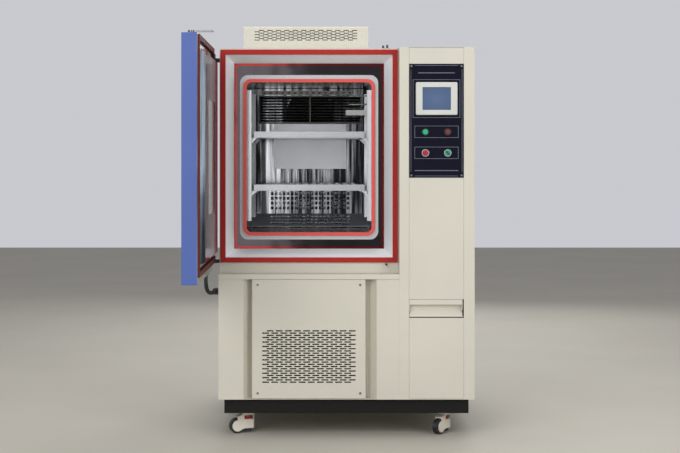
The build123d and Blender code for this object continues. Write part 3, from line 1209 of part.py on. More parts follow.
def caster_thumb():
    """The thumb wheel that turns on the foot's stem."""
    z = (THUMB_BOTTOM, THUMB_BOTTOM + THUMB_HEIGHT)
    wheel = bar((0, 0, z[0]), (0, 0, z[1]), THUMB_DIAMETER)
    return wheel - bar((0, 0, z[0]), (0, 0, z[1]), STEM_DIAMETER + 2 * RUNNING_GAP)


def caster_foot():
    """The leveling foot: a round pad and its stem, drawn up clear of the floor."""
    top = THUMB_BOTTOM + THUMB_HEIGHT
    foot = bar((0, 0, FOOT_CLEARANCE), (0, 0, HOUSING_BOTTOM - TRIM_GAP), FOOT_DIAMETER)
    return foot + bar((0, 0, FOOT_CLEARANCE), (0, 0, top), STEM_DIAMETER)


def all_nodes():
    """Every node by name, still in the cabinet's own frame."""
    places = control_places()
    mounts = [caster_mount(x, y) for x, y in caster_places().values()]
    nodes = {
        "base_frame": group([base_frame(), *mounts]),
        "cabinet_shell": cabinet_shell(),
        "grille_panel": grille_panel(),
        "panel_screws": panel_screws(),
        "chamber_shell": chamber_shell(),
        "insulation": insulation(),
        "liner": liner(),
        "stepped_frame": stepped_frame(),
        "frame_seals": frame_seals(),
        "duct_panel": duct_panel(),
        "outlet_louvre": outlet_louvre(),
        "sump_cover": sump_cover(),
        "shelf_supports": shelf_supports(),
        "humidity_sensors": humidity_sensors(),
        "evaporator_coil": evaporator_coil(),
        "heater": heater(),
        "fan_motor": fan_motor(),
        "top_cover": top_cover(),
        "column_shell": column_shell(),
        "column_panels": column_panels(),
        "control_plate": control_plate(),
        "hmi_bezel": hmi_bezel(),
        "hmi_screen": hmi_screen(),
        "indicator_lamps": indicator_lamps(),
        "button_bezels": button_bezels(),
        "control_gear": control_gear(),
        "compressor": compressor(),
        "condenser_coil": condenser_coil(),
        "cabinet_fittings": cabinet_fittings(),
        "door_shell": door_shell(),
        "door_liner": door_liner(),
        "door_gasket": door_gasket(),
        "window_glass": window_glass(),
        "door_fittings": door_fittings(),
        "door_conduit": door_conduit(),
        "latch_lever": latch_lever(),
        "door_switch": door_switch(),
        "circulation_fan": circulation_fan(),
        "condenser_fan": condenser_fan(),
        "fill_drawer": fill_drawer(),
        "stop_button": push_button(places["stop"]),
        "light_selector": selector_knob(places["light"]),
        "upper_shelf": shelf(UPPER_SHELF_TOP),
        "lower_shelf": shelf(LOWER_SHELF_TOP),
    }
    for name, (x, y) in caster_places().items():
        stand = Pos(x, y, 0) * Rot(0, 0, CASTER_TURNS[name])
        nodes[f"{name}_housing"] = stand * caster_housing()
        nodes[f"{name}_wheel"] = stand * caster_wheel()
        nodes[f"{name}_thumb_wheel"] = stand * caster_thumb()
        nodes[f"{name}_foot"] = stand * caster_foot()
    return nodes


os.makedirs("parts", exist_ok=True)
for node, shape in all_nodes().items():
    export_step(Pos(-ORIGIN_X, -ORIGIN_Y, 0) * shape, f"parts/{node}.step")
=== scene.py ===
# The looks of the environmental test chamber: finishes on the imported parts, and small added pieces.
# Metres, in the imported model's frame.

import math
import random

import bmesh
import bpy
from mathutils import Matrix, Vector


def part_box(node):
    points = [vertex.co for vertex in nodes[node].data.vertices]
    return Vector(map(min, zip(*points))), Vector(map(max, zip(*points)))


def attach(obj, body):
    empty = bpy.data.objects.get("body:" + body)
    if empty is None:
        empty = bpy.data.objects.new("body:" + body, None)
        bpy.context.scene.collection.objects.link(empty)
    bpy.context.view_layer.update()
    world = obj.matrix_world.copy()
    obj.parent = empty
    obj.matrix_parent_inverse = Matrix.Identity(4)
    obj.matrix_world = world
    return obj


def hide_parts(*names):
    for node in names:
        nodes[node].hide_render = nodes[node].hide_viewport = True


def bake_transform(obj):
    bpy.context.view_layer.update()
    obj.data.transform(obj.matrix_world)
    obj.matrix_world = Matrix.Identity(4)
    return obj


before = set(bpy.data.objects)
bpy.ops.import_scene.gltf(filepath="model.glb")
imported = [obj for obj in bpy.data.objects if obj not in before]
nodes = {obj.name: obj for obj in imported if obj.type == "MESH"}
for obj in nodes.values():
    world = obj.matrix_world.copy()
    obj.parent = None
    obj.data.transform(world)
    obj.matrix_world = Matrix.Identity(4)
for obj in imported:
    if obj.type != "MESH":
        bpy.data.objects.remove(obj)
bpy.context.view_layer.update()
random.seed(7)

# Colours, as sRGB values from 0 to 255
IVORY = (214, 210, 196)
DOOR_BLUE = (66, 91, 162)
SEAL_RED = (168, 40, 36)
INNER_RED = (222, 92, 86)
# Painted shade: the door gasket's red, darkened as it lies in shadow; the outer seal's dark mitre joints
# share it.
GASKET_RED_PAINTED_SHADE = (84, 28, 24)
PLINTH_BLACK = (9, 10, 8)
FITTING_BLACK = (20, 20, 22)
PANEL_NAVY = (13, 15, 30)
BEZEL_WHITE = (212, 214, 208)
SCREEN_BLUE = (80, 101, 138)
CASTER_CREAM = (226, 219, 204)
DIAL_RED = (150, 30, 28)
LAMP_GREEN = (20, 165, 120)
KNOB_DARK = (20, 70, 56)
LAMP_RED = (104, 40, 38)
STOP_RED = (176, 14, 34)
RULE_GREY = (128, 134, 150)
STEEL = (196, 198, 200)
# The louvre's grey steel, darkened further as painted shade of the dark outlet behind it.
LOUVRE_STEEL_PAINTED_SHADE = (74, 75, 70)
SHELF_GREY = (168, 169, 171)
CHROME_SHADE = (112, 113, 116)
# Painted reflection and painted shade: the bright and dark streaks on the chamber liner's mirror walls.
LINER_PAINTED_SHADE = (34, 34, 36)
LINER_PAINTED_REFLECTION = (176, 177, 180)
# Painted shade: the dark colour of the frame's mirror channel.
CHANNEL_PAINTED_SHADE = (58, 54, 56)
REVEAL_PALE = (244, 245, 248)
LIP_GREY = (186, 187, 190)
# Painted reflection and painted shade: the bright and dark streaks on the door liner.
DOOR_PAINTED_REFLECTION = (108, 118, 128)
DOOR_SHADE = (58, 63, 68)
# Painted reflection: the seal's red, painted in a band on the channel.
PAINTED_SEAL_REFLECTION = (118, 38, 36)
CENTRE_PALE = (214, 215, 220)
SCREW_GREY = (126, 124, 116)
CONDENSER_GREY = (70, 71, 70)
TROUGH_WHITE = (236, 236, 230)
BRIGHT_STEEL = (214, 216, 218)
WOOL = (216, 204, 150)
PALE_GROUND = (0.58, 0.585, 0.62)

# The stepped frame: its lip as seen from the front, and the depth where the flared reveal ends
LINER_LOW, LINER_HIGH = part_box("liner")
LINER_X, LINER_Z = (LINER_LOW.x + LINER_HIGH.x) / 2, (LINER_LOW.z + LINER_HIGH.z) / 2
LIP_REACH = Vector((0.277, 0.0, 0.3295))
LIP_MIDDLE = Vector((LINER_X, -0.0702, LINER_Z))
LIP = LIP_MIDDLE - LIP_REACH, LIP_MIDDLE + LIP_REACH
REVEAL_BACK = -0.0452
# Inside this box the channel's floor takes its painted shade; the band outside it holds the painted
# reflection of the seal.
CHANNEL_MIDDLE = LIP[0] - Vector((0.016, 0.0, 0.031)), LIP[1] + Vector((0.016, 0.0, 0.041))
DUCT_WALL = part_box("outlet_louvre")[1].y

# The plane of the control plate's face and the places on it
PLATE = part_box("control_plate")
PLATE_FACE = PLATE[0].y
PLATE_MIDDLE = (PLATE[0].x + PLATE[1].x) / 2
INK = 0.0003
LAMP_ROW = (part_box("indicator_lamps")[0].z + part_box("indicator_lamps")[1].z) / 2
BUTTON_ROW = (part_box("stop_button")[0].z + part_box("stop_button")[1].z) / 2
RING_SPLIT = (LAMP_ROW + BUTTON_ROW) / 2
TROUGH_TOP = 1.3015


def linear(colour):
    """An sRGB colour from 0 to 255 as linear RGBA."""
    parts = []
    for value in colour:
        v = value / 255
        parts.append(v / 12.92 if v <= 0.04045 else ((v + 0.055) / 1.055) ** 2.4)
    return (*parts, 1.0)


def new_material(name):
    """A material with an empty Principled surface: the material, its node tree and the shader."""
    material = bpy.data.materials.new(name)
    material.use_nodes = True
    tree = material.node_tree
    return material, tree, tree.nodes["Principled BSDF"]


def coordinates(tree, scale=(1, 1, 1)):
    """Object coordinates through a Mapping node."""
    source = tree.nodes.new("ShaderNodeTexCoord")
    mapping = tree.nodes.new("ShaderNodeMapping")
    mapping.inputs["Scale"].default_value = scale
    tree.links.new(source.outputs["Object"], mapping.inputs["Vector"])
    return mapping.outputs["Vector"]


def noise(tree, vector, scale, detail=3.0, roughness=0.5):
    """A noise texture's factor."""
    texture = tree.nodes.new("ShaderNodeTexNoise")
    texture.inputs["Scale"].default_value = scale
    texture.inputs["Detail"].default_value = detail
    texture.inputs["Roughness"].default_value = roughness
    tree.links.new(vector, texture.inputs["Vector"])
    return texture.outputs["Fac"]


def spread(tree, value, low, high, source=(0.3, 0.7)):
    """Maps a value onto a range."""
    node = tree.nodes.new("ShaderNodeMapRange")
    node.inputs["From Min"].default_value = source[0]
    node.inputs["From Max"].default_value = source[1]
    node.inputs["To Min"].default_value = low
    node.inputs["To Max"].default_value = high
    tree.links.new(value, node.inputs["Value"])
    return node.outputs["Result"]


def blended(tree, factor, first, second):
    """A colour between two, by a factor. Each may be a colour or a socket."""
    node = tree.nodes.new("ShaderNodeMix")
    node.data_type = "RGBA"
    tree.links.new(factor, node.inputs["Factor"])
    for socket, value in ((node.inputs["A"], first), (node.inputs["B"], second)):
        sockets = [s for s in node.inputs if s.name == socket.name and s.type == "RGBA"]
        if isinstance(value, tuple):
            sockets[0].default_value = value
        else:
            tree.links.new(value, sockets[0])
    return [s for s in node.outputs if s.type == "RGBA"][0]


def relief(tree, shader, height, strength, distance, edge=0.0):
    """Bump from a height, on normals that round the edges where an edge radius is given."""
    bump = tree.nodes.new("ShaderNodeBump")
    bump.inputs["Strength"].default_value = strength
    bump.inputs["Distance"].default_value = distance
    tree.links.new(height, bump.inputs["Height"])
    if edge:
        rounding = tree.nodes.new("ShaderNodeBevel")
        rounding.samples = 4
        rounding.inputs["Radius"].default_value = edge
        tree.links.new(rounding.outputs["Normal"], bump.inputs["Normal"])
    tree.links.new(bump.outputs["Normal"], shader.inputs["Normal"])


def place_parts(tree):
    """A point's X, Y and Z in the model's frame."""
    source = tree.nodes.new("ShaderNodeTexCoord")
    split = tree.nodes.new("ShaderNodeSeparateXYZ")
    tree.links.new(source.outputs["Object"], split.inputs["Vector"])
    return split


def beyond(tree, axis, limit, below=False):
    """1 where a point's coordinate on an axis is past a limit, else 0."""
    step = tree.nodes.new("ShaderNodeMath")
    step.operation = "LESS_THAN" if below else "GREATER_THAN"
    step.inputs[1].default_value = limit
    tree.links.new(place_parts(tree).outputs[axis], step.inputs[0])
    return step.outputs["Value"]


def combined(tree, operation, first, second):
    """Two factors put together by a math operation."""
    node = tree.nodes.new("ShaderNodeMath")
    node.operation = operation
    tree.links.new(first, node.inputs[0])
    tree.links.new(second, node.inputs[1])
    return node.outputs["Value"]


def outside_box(tree, low, high):
    """1 where a point lies outside a rectangle in X and Z, else 0."""
    sides = combined(tree, "MAXIMUM", beyond(tree, "X", low.x, True), beyond(tree, "X", high.x))
    ends = combined(tree, "MAXIMUM", beyond(tree, "Z", low.z, True), beyond(tree, "Z", high.z))
    return combined(tree, "MAXIMUM", sides, ends)


def powder_coat(name, colour, roughness=0.46, edge=0.0012, dust=0.10, shine=0.5):
    """Textured powder coat: a fine orange peel, faint clouding and a little dust towards the floor."""
    material, tree, shader = new_material(name)
    shader.inputs["Specular IOR Level"].default_value = shine
    paint = linear(colour)
    darker = tuple(c * 0.90 for c in paint[:3]) + (1.0,)
    clouds = spread(tree, noise(tree, coordinates(tree), 3.5, 4.0), 0.0, 0.6)
    base = blended(tree, clouds, paint, darker)
    floor_dust = spread(tree, place_parts(tree).outputs["Z"], dust, 0.0, (0.05, 0.5))
    dusty = blended(tree, floor_dust, base, (0.30, 0.27, 0.23, 1.0))
    tree.links.new(dusty, shader.inputs["Base Color"])
    peel = noise(tree, coordinates(tree), 420.0, 2.0)
    tree.links.new(spread(tree, peel, roughness - 0.05, roughness + 0.07), shader.inputs["Roughness"])
    shader.inputs["IOR"].default_value = 1.48
    relief(tree, shader, peel, 0.10, 0.0006, edge)
    return material


def steel(name, colour, roughness, grain, streak, anisotropy=0.0, metallic=1.0):
    """Sheet steel: a drawn grain along the sheet and a cloudy sheen."""
    material, tree, shader = new_material(name)
    shader.inputs["Metallic"].default_value = metallic
    shader.inputs["Anisotropic"].default_value = anisotropy
    metal = linear(colour)
    darker = tuple(c * 0.80 for c in metal[:3]) + (1.0,)
    lines = noise(tree, coordinates(tree, grain), 6.0, 4.0, 0.7)
    clouds = noise(tree, coordinates(tree), 5.0, 3.0)
    sheen = blended(tree, spread(tree, clouds, 0.0, 0.7), metal, darker)
    tree.links.new(sheen, shader.inputs["Base Color"])
    brushed = spread(tree, lines, roughness - streak, roughness + streak)
    tree.links.new(brushed, shader.inputs["Roughness"])
    relief(tree, shader, lines, 0.08, 0.0004, 0.0008)
    return material


def steel_painted_reflections(name, bright, dark, roughness):
    """Mirror sheet in a dark box: upright bright and dark streaks in its colour, a painted reflection and
    painted shade of its walls showing one another.
    """
    material, tree, shader = new_material(name)
    shader.inputs["Metallic"].default_value = 0.9
    # Painted reflection and painted shade: streaks of bright and dark in the base colour.
    streaks = noise(tree, coordinates(tree, (26.0, 26.0, 0.8)), 2.0, 4.0, 0.65)
    shown = blended(tree, spread(tree, streaks, 0.0, 1.0, (0.42, 0.62)), linear(dark), linear(bright))
    tree.links.new(shown, shader.inputs["Base Color"])
    tree.links.new(spread(tree, streaks, roughness, roughness + 0.08), shader.inputs["Roughness"])
    relief(tree, shader, noise(tree, coordinates(tree), 7.0, 1.0), 0.08, 0.02)
    return material


def frame_steel(name, seal, lip):
    """The stepped frame's sheet: pale satin on the flange, reveal and lip, and a mirror between that is
    coloured dark as painted shade.

    A band along the channel's outer edge carries the red of the seal as a painted reflection.
    """
    material, tree, shader = new_material(name)
    reveal = combined(tree, "MINIMUM", outside_box(tree, *lip), beyond(tree, "Y", REVEAL_BACK, True))
    rim = combined(tree, "MAXIMUM", reveal, beyond(tree, "Y", lip[0].y + 0.0004, True))
    edge = outside_box(tree, *CHANNEL_MIDDLE)
    # The channel: painted shade, with a band of painted reflection of the seal along its outer edge.
    channel = blended(tree, edge, linear(CHANNEL_PAINTED_SHADE), linear(seal))
    pale = blended(tree, outside_box(tree, *lip), linear(LIP_GREY), linear(REVEAL_PALE))
    tree.links.new(blended(tree, rim, channel, pale), shader.inputs["Base Color"])
    tree.links.new(spread(tree, rim, 1.0, 0.2, (0.0, 1.0)), shader.inputs["Metallic"])
    lines = noise(tree, coordinates(tree, (3.0, 3.0, 90.0)), 6.0, 4.0, 0.7)
    satin = spread(tree, lines, 0.34, 0.46)
    mirror = spread(tree, lines, 0.05, 0.14)
    mixed = tree.nodes.new("ShaderNodeMix")
    tree.links.new(rim, mixed.inputs["Factor"])
    tree.links.new(mirror, mixed.inputs["A"])
    tree.links.new(satin, mixed.inputs["B"])
    tree.links.new(mixed.outputs["Result"], shader.inputs["Roughness"])
    relief(tree, shader, noise(tree, coordinates(tree), 7.0, 1.0), 0.08, 0.02)
    return material


def two_metals(name, axis, limit, near, far):
    """Metal below a limit on an axis in one colour and roughness, and past it in another."""
    material, tree, shader = new_material(name)
    past = beyond(tree, axis, limit)
    tree.links.new(blended(tree, past, linear(near[0]), linear(far[0])), shader.inputs["Base Color"])
    tree.links.new(spread(tree, past, near[1], far[1], (0.0, 1.0)), shader.inputs["Metallic"])
    grain = noise(tree, coordinates(tree), 300.0, 3.0)
    dull = spread(tree, past, near[2], far[2], (0.0, 1.0))
    uneven = combined(tree, "ADD", dull, spread(tree, grain, -0.04, 0.05))
    tree.links.new(uneven, shader.inputs["Roughness"])
    relief(tree, shader, grain, 0.06, 0.0004, 0.0006)
    return material


def plastic(name, colour, roughness=0.35, coat=0.0, grain=500.0, bump=0.06):
    """Moulded plastic with a fine texture and slightly uneven gloss."""
    material, tree, shader = new_material(name)
    base = linear(colour)
    darker = tuple(c * 0.86 for c in base[:3]) + (1.0,)
    clouds = spread(tree, noise(tree, coordinates(tree), 14.0), 0.0, 0.6)
    tree.links.new(blended(tree, clouds, base, darker), shader.inputs["Base Color"])
    texture = noise(tree, coordinates(tree), grain, 2.0)
    tree.links.new(spread(tree, texture, roughness - 0.06, roughness + 0.08), shader.inputs["Roughness"])
    shader.inputs["Coat Weight"].default_value = coat
    relief(tree, shader, texture, bump, 0.0004, 0.0006)
    return material


def rubber(name, colour, roughness=0.55, inner=None, box=None):
    """Extruded silicone rubber: matt, with a faint skin and bloom, in a second colour inside a box."""
    material, tree, shader = new_material(name)
    shader.inputs["Specular IOR Level"].default_value = 0.18
    base = linear(colour)
    bloom = tuple(min(1.0, c * 1.12 + 0.004) for c in base[:3]) + (1.0,)
    clouds = spread(tree, noise(tree, coordinates(tree), 9.0, 5.0), 0.0, 0.8)
    skinned = blended(tree, clouds, base, bloom)
    if inner:
        skinned = blended(tree, outside_box(tree, *box), linear(inner), skinned)
    tree.links.new(skinned, shader.inputs["Base Color"])
    skin = noise(tree, coordinates(tree), 260.0, 3.0)
    tree.links.new(spread(tree, skin, roughness - 0.08, roughness + 0.08), shader.inputs["Roughness"])
    relief(tree, shader, skin, 0.08, 0.0006, 0.0025)
    return material


def tinted_glass(name, colour, roughness=0.03):
    """The window's panes: clear with a cool tint and faint smears."""
    material, tree, shader = new_material(name)
    shader.inputs["Base Color"].default_value = linear(colour)
    shader.inputs["Transmission Weight"].default_value = 0.92
    shader.inputs["IOR"].default_value = 1.5
    smear = noise(tree, coordinates(tree), 6.0, 4.0)
    tree.links.new(spread(tree, smear, roughness, roughness + 0.05), shader.inputs["Roughness"])
    return material


def gloss_panel(name, colour):
    """The control plate's back-printed gloss film."""
    material, tree, shader = new_material(name)
    base = linear(colour)
    lighter = tuple(c * 1.25 for c in base[:3]) + (1.0,)
    clouds = spread(tree, noise(tree, coordinates(tree), 8.0), 0.0, 0.6)
    tree.links.new(blended(tree, clouds, base, lighter), shader.inputs["Base Color"])
    film = noise(tree, coordinates(tree), 60.0, 2.0)
    tree.links.new(spread(tree, film, 0.16, 0.26), shader.inputs["Roughness"])
    shader.inputs["Specular IOR Level"].default_value = 0.14
    relief(tree, shader, film, 0.02, 0.001, 0.0006)
    return material


def screen_film(name, colour):
    """The touch screen: a blue-grey display behind gloss glass, darker towards its edges."""
    material, tree, shader = new_material(name)
    low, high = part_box("hmi_screen")
    middle = (low + high) / 2
    source = tree.nodes.new("ShaderNodeTexCoord")
    mapping = tree.nodes.new("ShaderNodeMapping")
    mapping.inputs["Location"].default_value = -middle
    tree.links.new(source.outputs["Object"], mapping.inputs["Vector"])
    glow = tree.nodes.new("ShaderNodeTexGradient")
    glow.gradient_type = "SPHERICAL"
    size = tree.nodes.new("ShaderNodeMapping")
    size.inputs["Scale"].default_value = (9.0, 9.0, 11.0)
    tree.links.new(mapping.outputs["Vector"], size.inputs["Vector"])
    tree.links.new(size.outputs["Vector"], glow.inputs["Vector"])
    base = linear(colour)
    darker = tuple(c * 0.62 for c in base[:3]) + (1.0,)
    display = blended(tree, glow.outputs["Fac"], darker, base)
    tree.links.new(display, shader.inputs["Base Color"])
    tree.links.new(display, shader.inputs["Emission Color"])
    shader.inputs["Emission Strength"].default_value = 0.12
    smear = noise(tree, coordinates(tree), 30.0)
    tree.links.new(spread(tree, smear, 0.05, 0.12), shader.inputs["Roughness"])
    shader.inputs["Coat Weight"].default_value = 0.25
    return material


def two_lamps(name, left, right, middle_x):
    """The two indicator lenses, told apart by the side that they are on."""
    material, tree, shader = new_material(name)
    colour = blended(tree, beyond(tree, "X", middle_x), linear(left), linear(right))
    facets = tree.nodes.new("ShaderNodeTexVoronoi")
    facets.inputs["Scale"].default_value = 420.0
    tree.links.new(coordinates(tree), facets.inputs["Vector"])
    tree.links.new(colour, shader.inputs["Base Color"])
    tree.links.new(colour, shader.inputs["Emission Color"])
    shader.inputs["Emission Strength"].default_value = 0.15
    cut = spread(tree, facets.outputs["Distance"], 0.12, 0.30, (0.0, 1.0))
    tree.links.new(cut, shader.inputs["Roughness"])
    shader.inputs["Coat Weight"].default_value = 0.6
    relief(tree, shader, facets.outputs["Distance"], 0.25, 0.0006)
    return material


def banded_knob(name, body, bar, face_y):
    """The selector knob: a green body with its raised bar in a second colour."""
    material, tree, shader = new_material(name)
    colour = blended(tree, beyond(tree, "Y", face_y, True), linear(body), linear(bar))
    tree.links.new(colour, shader.inputs["Base Color"])
    texture = noise(tree, coordinates(tree), 700.0)
    tree.links.new(spread(tree, texture, 0.22, 0.34), shader.inputs["Roughness"])
    shader.inputs["Coat Weight"].default_value = 0.3
    return material


def packed_wool(name, colour):
    """Glass wool, seen only from inside the walls."""
    material, tree, shader = new_material(name)
    fibres = noise(tree, coordinates(tree, (30.0, 300.0, 300.0)), 4.0, 6.0, 0.8)
    base = linear(colour)
    darker = tuple(c * 0.7 for c in base[:3]) + (1.0,)
    tree.links.new(blended(tree, fibres, darker, base), shader.inputs["Base Color"])
    shader.inputs["Roughness"].default_value = 0.95
    relief(tree, shader, fibres, 0.6, 0.003)
    return material


def wheel_tread(name, colour):
    """The casters' wheels: hard black polyamide, scuffed grey where they roll."""
    material, tree, shader = new_material(name)
    scuffs = spread(tree, noise(tree, coordinates(tree), 90.0, 5.0, 0.7), 0.0, 0.45, (0.45, 0.75))
    scuffed = blended(tree, scuffs, linear(colour), (0.12, 0.11, 0.10, 1.0))
    tree.links.new(scuffed, shader.inputs["Base Color"])
    grain = noise(tree, coordinates(tree), 500.0)
    tree.links.new(spread(tree, grain, 0.42, 0.62), shader.inputs["Roughness"])
    relief(tree, shader, scuffs, 0.2, 0.0005, 0.001)
    return material


ivory = powder_coat("ivory powder coat", IVORY)
door_blue = powder_coat("blue powder coat", DOOR_BLUE, 0.42, 0.0018, 0.02)
plinth_black = powder_coat("black plinth paint", PLINTH_BLACK, 0.55, 0.001, 0.015, 0.2)
# The door liner's streaks are painted reflection and painted shade.
door_steel = steel_painted_reflections("door liner steel", DOOR_PAINTED_REFLECTION, DOOR_SHADE, 0.12)
stepped_steel = frame_steel("stepped frame steel", PAINTED_SEAL_REFLECTION, LIP)
louvre_steel = steel("louvre steel", LOUVRE_STEEL_PAINTED_SHADE, 0.34, (2.0, 160.0, 160.0), 0.08)
screw_steel = steel("screw heads", SCREW_GREY, 0.32, (40.0, 40.0, 40.0), 0.08)
condenser_metal_and_painted_shade = steel("condenser fins", CONDENSER_GREY, 0.45, (2.0, 90.0, 2.0), 0.08)
# The liner and duct panel carry streaks of painted reflection and painted shade.
liner_steel = steel_painted_reflections("liner steel", LINER_PAINTED_REFLECTION, LINER_PAINTED_SHADE, 0.10)
satin_steel = steel("satin steel", STEEL, 0.30, (160.0, 160.0, 2.0), 0.08, 0.4)
centre_steel = steel("centre plate steel", CENTRE_PALE, 0.38, (160.0, 160.0, 2.0), 0.06, 0.0, 0.6)
shelf_steel = steel("shelf steel", SHELF_GREY, 0.30, (160.0, 3.0, 160.0), 0.08, 0.3)
chrome = steel("chrome plate", CHROME_SHADE, 0.16, (9.0, 9.0, 9.0), 0.05)
frame_seals = rubber("frame seals", SEAL_RED, 0.5, INNER_RED, LIP)
# Door gasket rubber darkened as painted shade; it also draws the dark mitre joints of the outer seal.
seal_joints_and_painted_shade = rubber("door gasket rubber", GASKET_RED_PAINTED_SHADE)
fitting_black = plastic("black fittings", FITTING_BLACK, 0.38, 0.1)
bezel_white = plastic("bezel white", BEZEL_WHITE, 0.36)
caster_cream = plastic("caster cream", CASTER_CREAM, 0.32, 0.2)
dial_red = plastic("thumb wheel red", DIAL_RED, 0.38)
stop_red = plastic("stop button red", STOP_RED, 0.22, 0.6)
wheel_black = wheel_tread("caster tread", FITTING_BLACK)
navy_panel = gloss_panel("control plate film", PANEL_NAVY)
rule_ink = plastic("plate rule ink", RULE_GREY, 0.4, 0.0, 300.0, 0.02)
screen_blue = screen_film("touch screen", SCREEN_BLUE)
window_tint = tinted_glass("window glass", (196, 226, 226))
wool = packed_wool("glass wool", WOOL)
BRIGHT_RING = (BRIGHT_STEEL, 1.0, 0.12)
BLACK_RING = (FITTING_BLACK, 0.0, 0.35)
rings = two_metals("rings of lamps and buttons", "Z", RING_SPLIT, BRIGHT_RING, BLACK_RING)
WHITE_TROUGH = (TROUGH_WHITE, 0.0, 0.4)
BARE_SENSOR = (STEEL, 1.0, 0.25)
sensor_parts = two_metals("sensors and trough", "Z", TROUGH_TOP, WHITE_TROUGH, BARE_SENSOR)
lamp_lenses = two_lamps("lamp lenses", LAMP_GREEN, LAMP_RED, PLATE_MIDDLE)
KNOB_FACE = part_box("light_selector")[0].y
knob_green = banded_knob("selector green", LAMP_GREEN, KNOB_DARK, KNOB_FACE + 0.004)

FINISHES = {
    ivory: [
        "cabinet_shell",
        "grille_panel",
        "chamber_shell",
        "top_cover",
        "column_shell",
        "column_panels",
        "fill_drawer",
    ],
    door_blue: ["door_shell"],
    plinth_black: ["base_frame", "fan_motor", "compressor"],
    door_steel: ["door_liner"],
    stepped_steel: ["stepped_frame"],
    liner_steel: ["liner", "duct_panel"],
    louvre_steel: ["outlet_louvre"],
    satin_steel: ["shelf_supports"],
    centre_steel: ["sump_cover"],
    shelf_steel: ["upper_shelf", "lower_shelf"],
    chrome: ["latch_lever"],
    screw_steel: ["panel_screws"],
    rings: ["button_bezels"],
    sensor_parts: ["humidity_sensors"],
    # The evaporator coil and circulation fan take the dark condenser metal as painted shade behind the
    # louvre.
    condenser_metal_and_painted_shade: ["condenser_coil", "evaporator_coil", "heater", "circulation_fan"],
    frame_seals: ["frame_seals"],
    seal_joints_and_painted_shade: ["door_gasket"],
    fitting_black: ["cabinet_fittings", "door_fittings", "control_gear", "door_switch", "condenser_fan"],
    bezel_white: ["hmi_bezel"],
    screen_blue: ["hmi_screen"],
    navy_panel: ["control_plate"],
    lamp_lenses: ["indicator_lamps"],
    stop_red: ["stop_button"],
    knob_green: ["light_selector"],
    window_tint: ["window_glass"],
    wool: ["insulation"],
}
CASTERS = ("front_left", "front_right", "rear_left", "rear_right")


def paint(node, material):
    """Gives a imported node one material."""
    slots = nodes[node].material_slots
    for slot in slots:
        slot.material = material
    if not slots:
        nodes[node].data.materials.append(material)


for finish, names in FINISHES.items():
    for name in names:
        paint(name, finish)
for caster in CASTERS:
    paint(f"{caster}_housing", caster_cream)
    paint(f"{caster}_wheel", wheel_black)
    paint(f"{caster}_thumb_wheel", dial_red)
    paint(f"{caster}_foot", fitting_black)


def piece(name, mesh, material, body):
    """Turns a bmesh into a piece that rides on a body."""
    data = bpy.data.meshes.new(name)
    mesh.to_mesh(data)
    mesh.free()
    shape = bpy.data.objects.new(name, data)
    bpy.context.scene.collection.objects.link(shape)
    data.materials.append(material)
    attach(shape, body)
    return shape


def add_block(mesh, low, high, bevel=0.0):
    """A block between two corners, with bevelled edges where a width is given."""
    size = [high[i] - low[i] for i in range(3)]
    place = Matrix.Translation([(high[i] + low[i]) / 2 for i in range(3)]) @ Matrix.Diagonal((*size, 1.0))
    made = bmesh.ops.create_cube(mesh, size=1.0, matrix=place)
    if bevel:
        edges = list({edge for vert in made["verts"] for edge in vert.link_edges})
        bmesh.ops.bevel(
            mesh, geom=edges, offset=bevel, segments=2, profile=0.5, affect="EDGES", material=-1
        )


def add_rod(mesh, start, end, radius, sides=24):
    """A closed round rod from one point to another."""
    way = Vector(end) - Vector(start)
    turn = way.to_track_quat("Z", "Y").to_matrix().to_4x4()
    place = Matrix.Translation((Vector(start) + Vector(end)) / 2) @ turn
    bmesh.ops.create_cone(
        mesh, cap_ends=True, segments=sides, radius1=radius, radius2=radius, depth=way.length, matrix=place
    )


def add_outline(mesh, x, z, face, line, thick=INK):
    """A printed rectangle on a face that looks to the front: four thin strips."""
    for low, high in (
        ((x[0], z[0]), (x[1], z[0] + line)),
        ((x[0], z[1] - line), (x[1], z[1])),
        ((x[0], z[0] + line), (x[0] + line, z[1] - line)),
        ((x[1] - line, z[0] + line), (x[1], z[1] - line)),
    ):
        add_block(mesh, (low[0], face - thick, low[1]), (high[0], face, high[1]))


def plate_rules():
    """The printed frames and rules on the control plate."""
    mesh = bmesh.new()
    low, high = PLATE
    border, line, notch = 0.006, 0.0013, 0.016
    x, z = (low.x + border, high.x - border), (low.z + border, high.z - border)
    for side in z:
        strip = (side, side + line) if side == z[0] else (side - line, side)
        add_block(mesh, (x[0] + notch, PLATE_FACE - INK, strip[0]), (x[1] - notch, PLATE_FACE, strip[1]))
    for side in x:
        strip = (side, side + line) if side == x[0] else (side - line, side)
        add_block(mesh, (strip[0], PLATE_FACE - INK, z[0] + notch), (strip[1], PLATE_FACE, z[1] - notch))
    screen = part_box("hmi_bezel")
    gap = 0.011
    across = (screen[0].x - gap, screen[1].x + gap)
    upright = (screen[0].z - gap, screen[1].z + gap)
    add_outline(mesh, across, upright, PLATE_FACE, line)
    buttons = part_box("button_bezels")
    reach = 0.028
    for centre in (LAMP_ROW, BUTTON_ROW):
        rows = (centre - 0.023, centre + 0.024)
        add_outline(mesh, (buttons[0].x - reach, buttons[1].x + reach), rows, PLATE_FACE, line)
    top, bottom = high.z - 0.036, low.z + 0.028
    for height, half in ((top, 0.072), (bottom, 0.086)):
        add_block(
            mesh,
            (PLATE_MIDDLE - half, PLATE_FACE - INK, height - 0.0012),
            (PLATE_MIDDLE + half, PLATE_FACE, height + 0.0012),
        )
    return piece("control_plate_rules", mesh, rule_ink, "cabinet")


plate_rules()


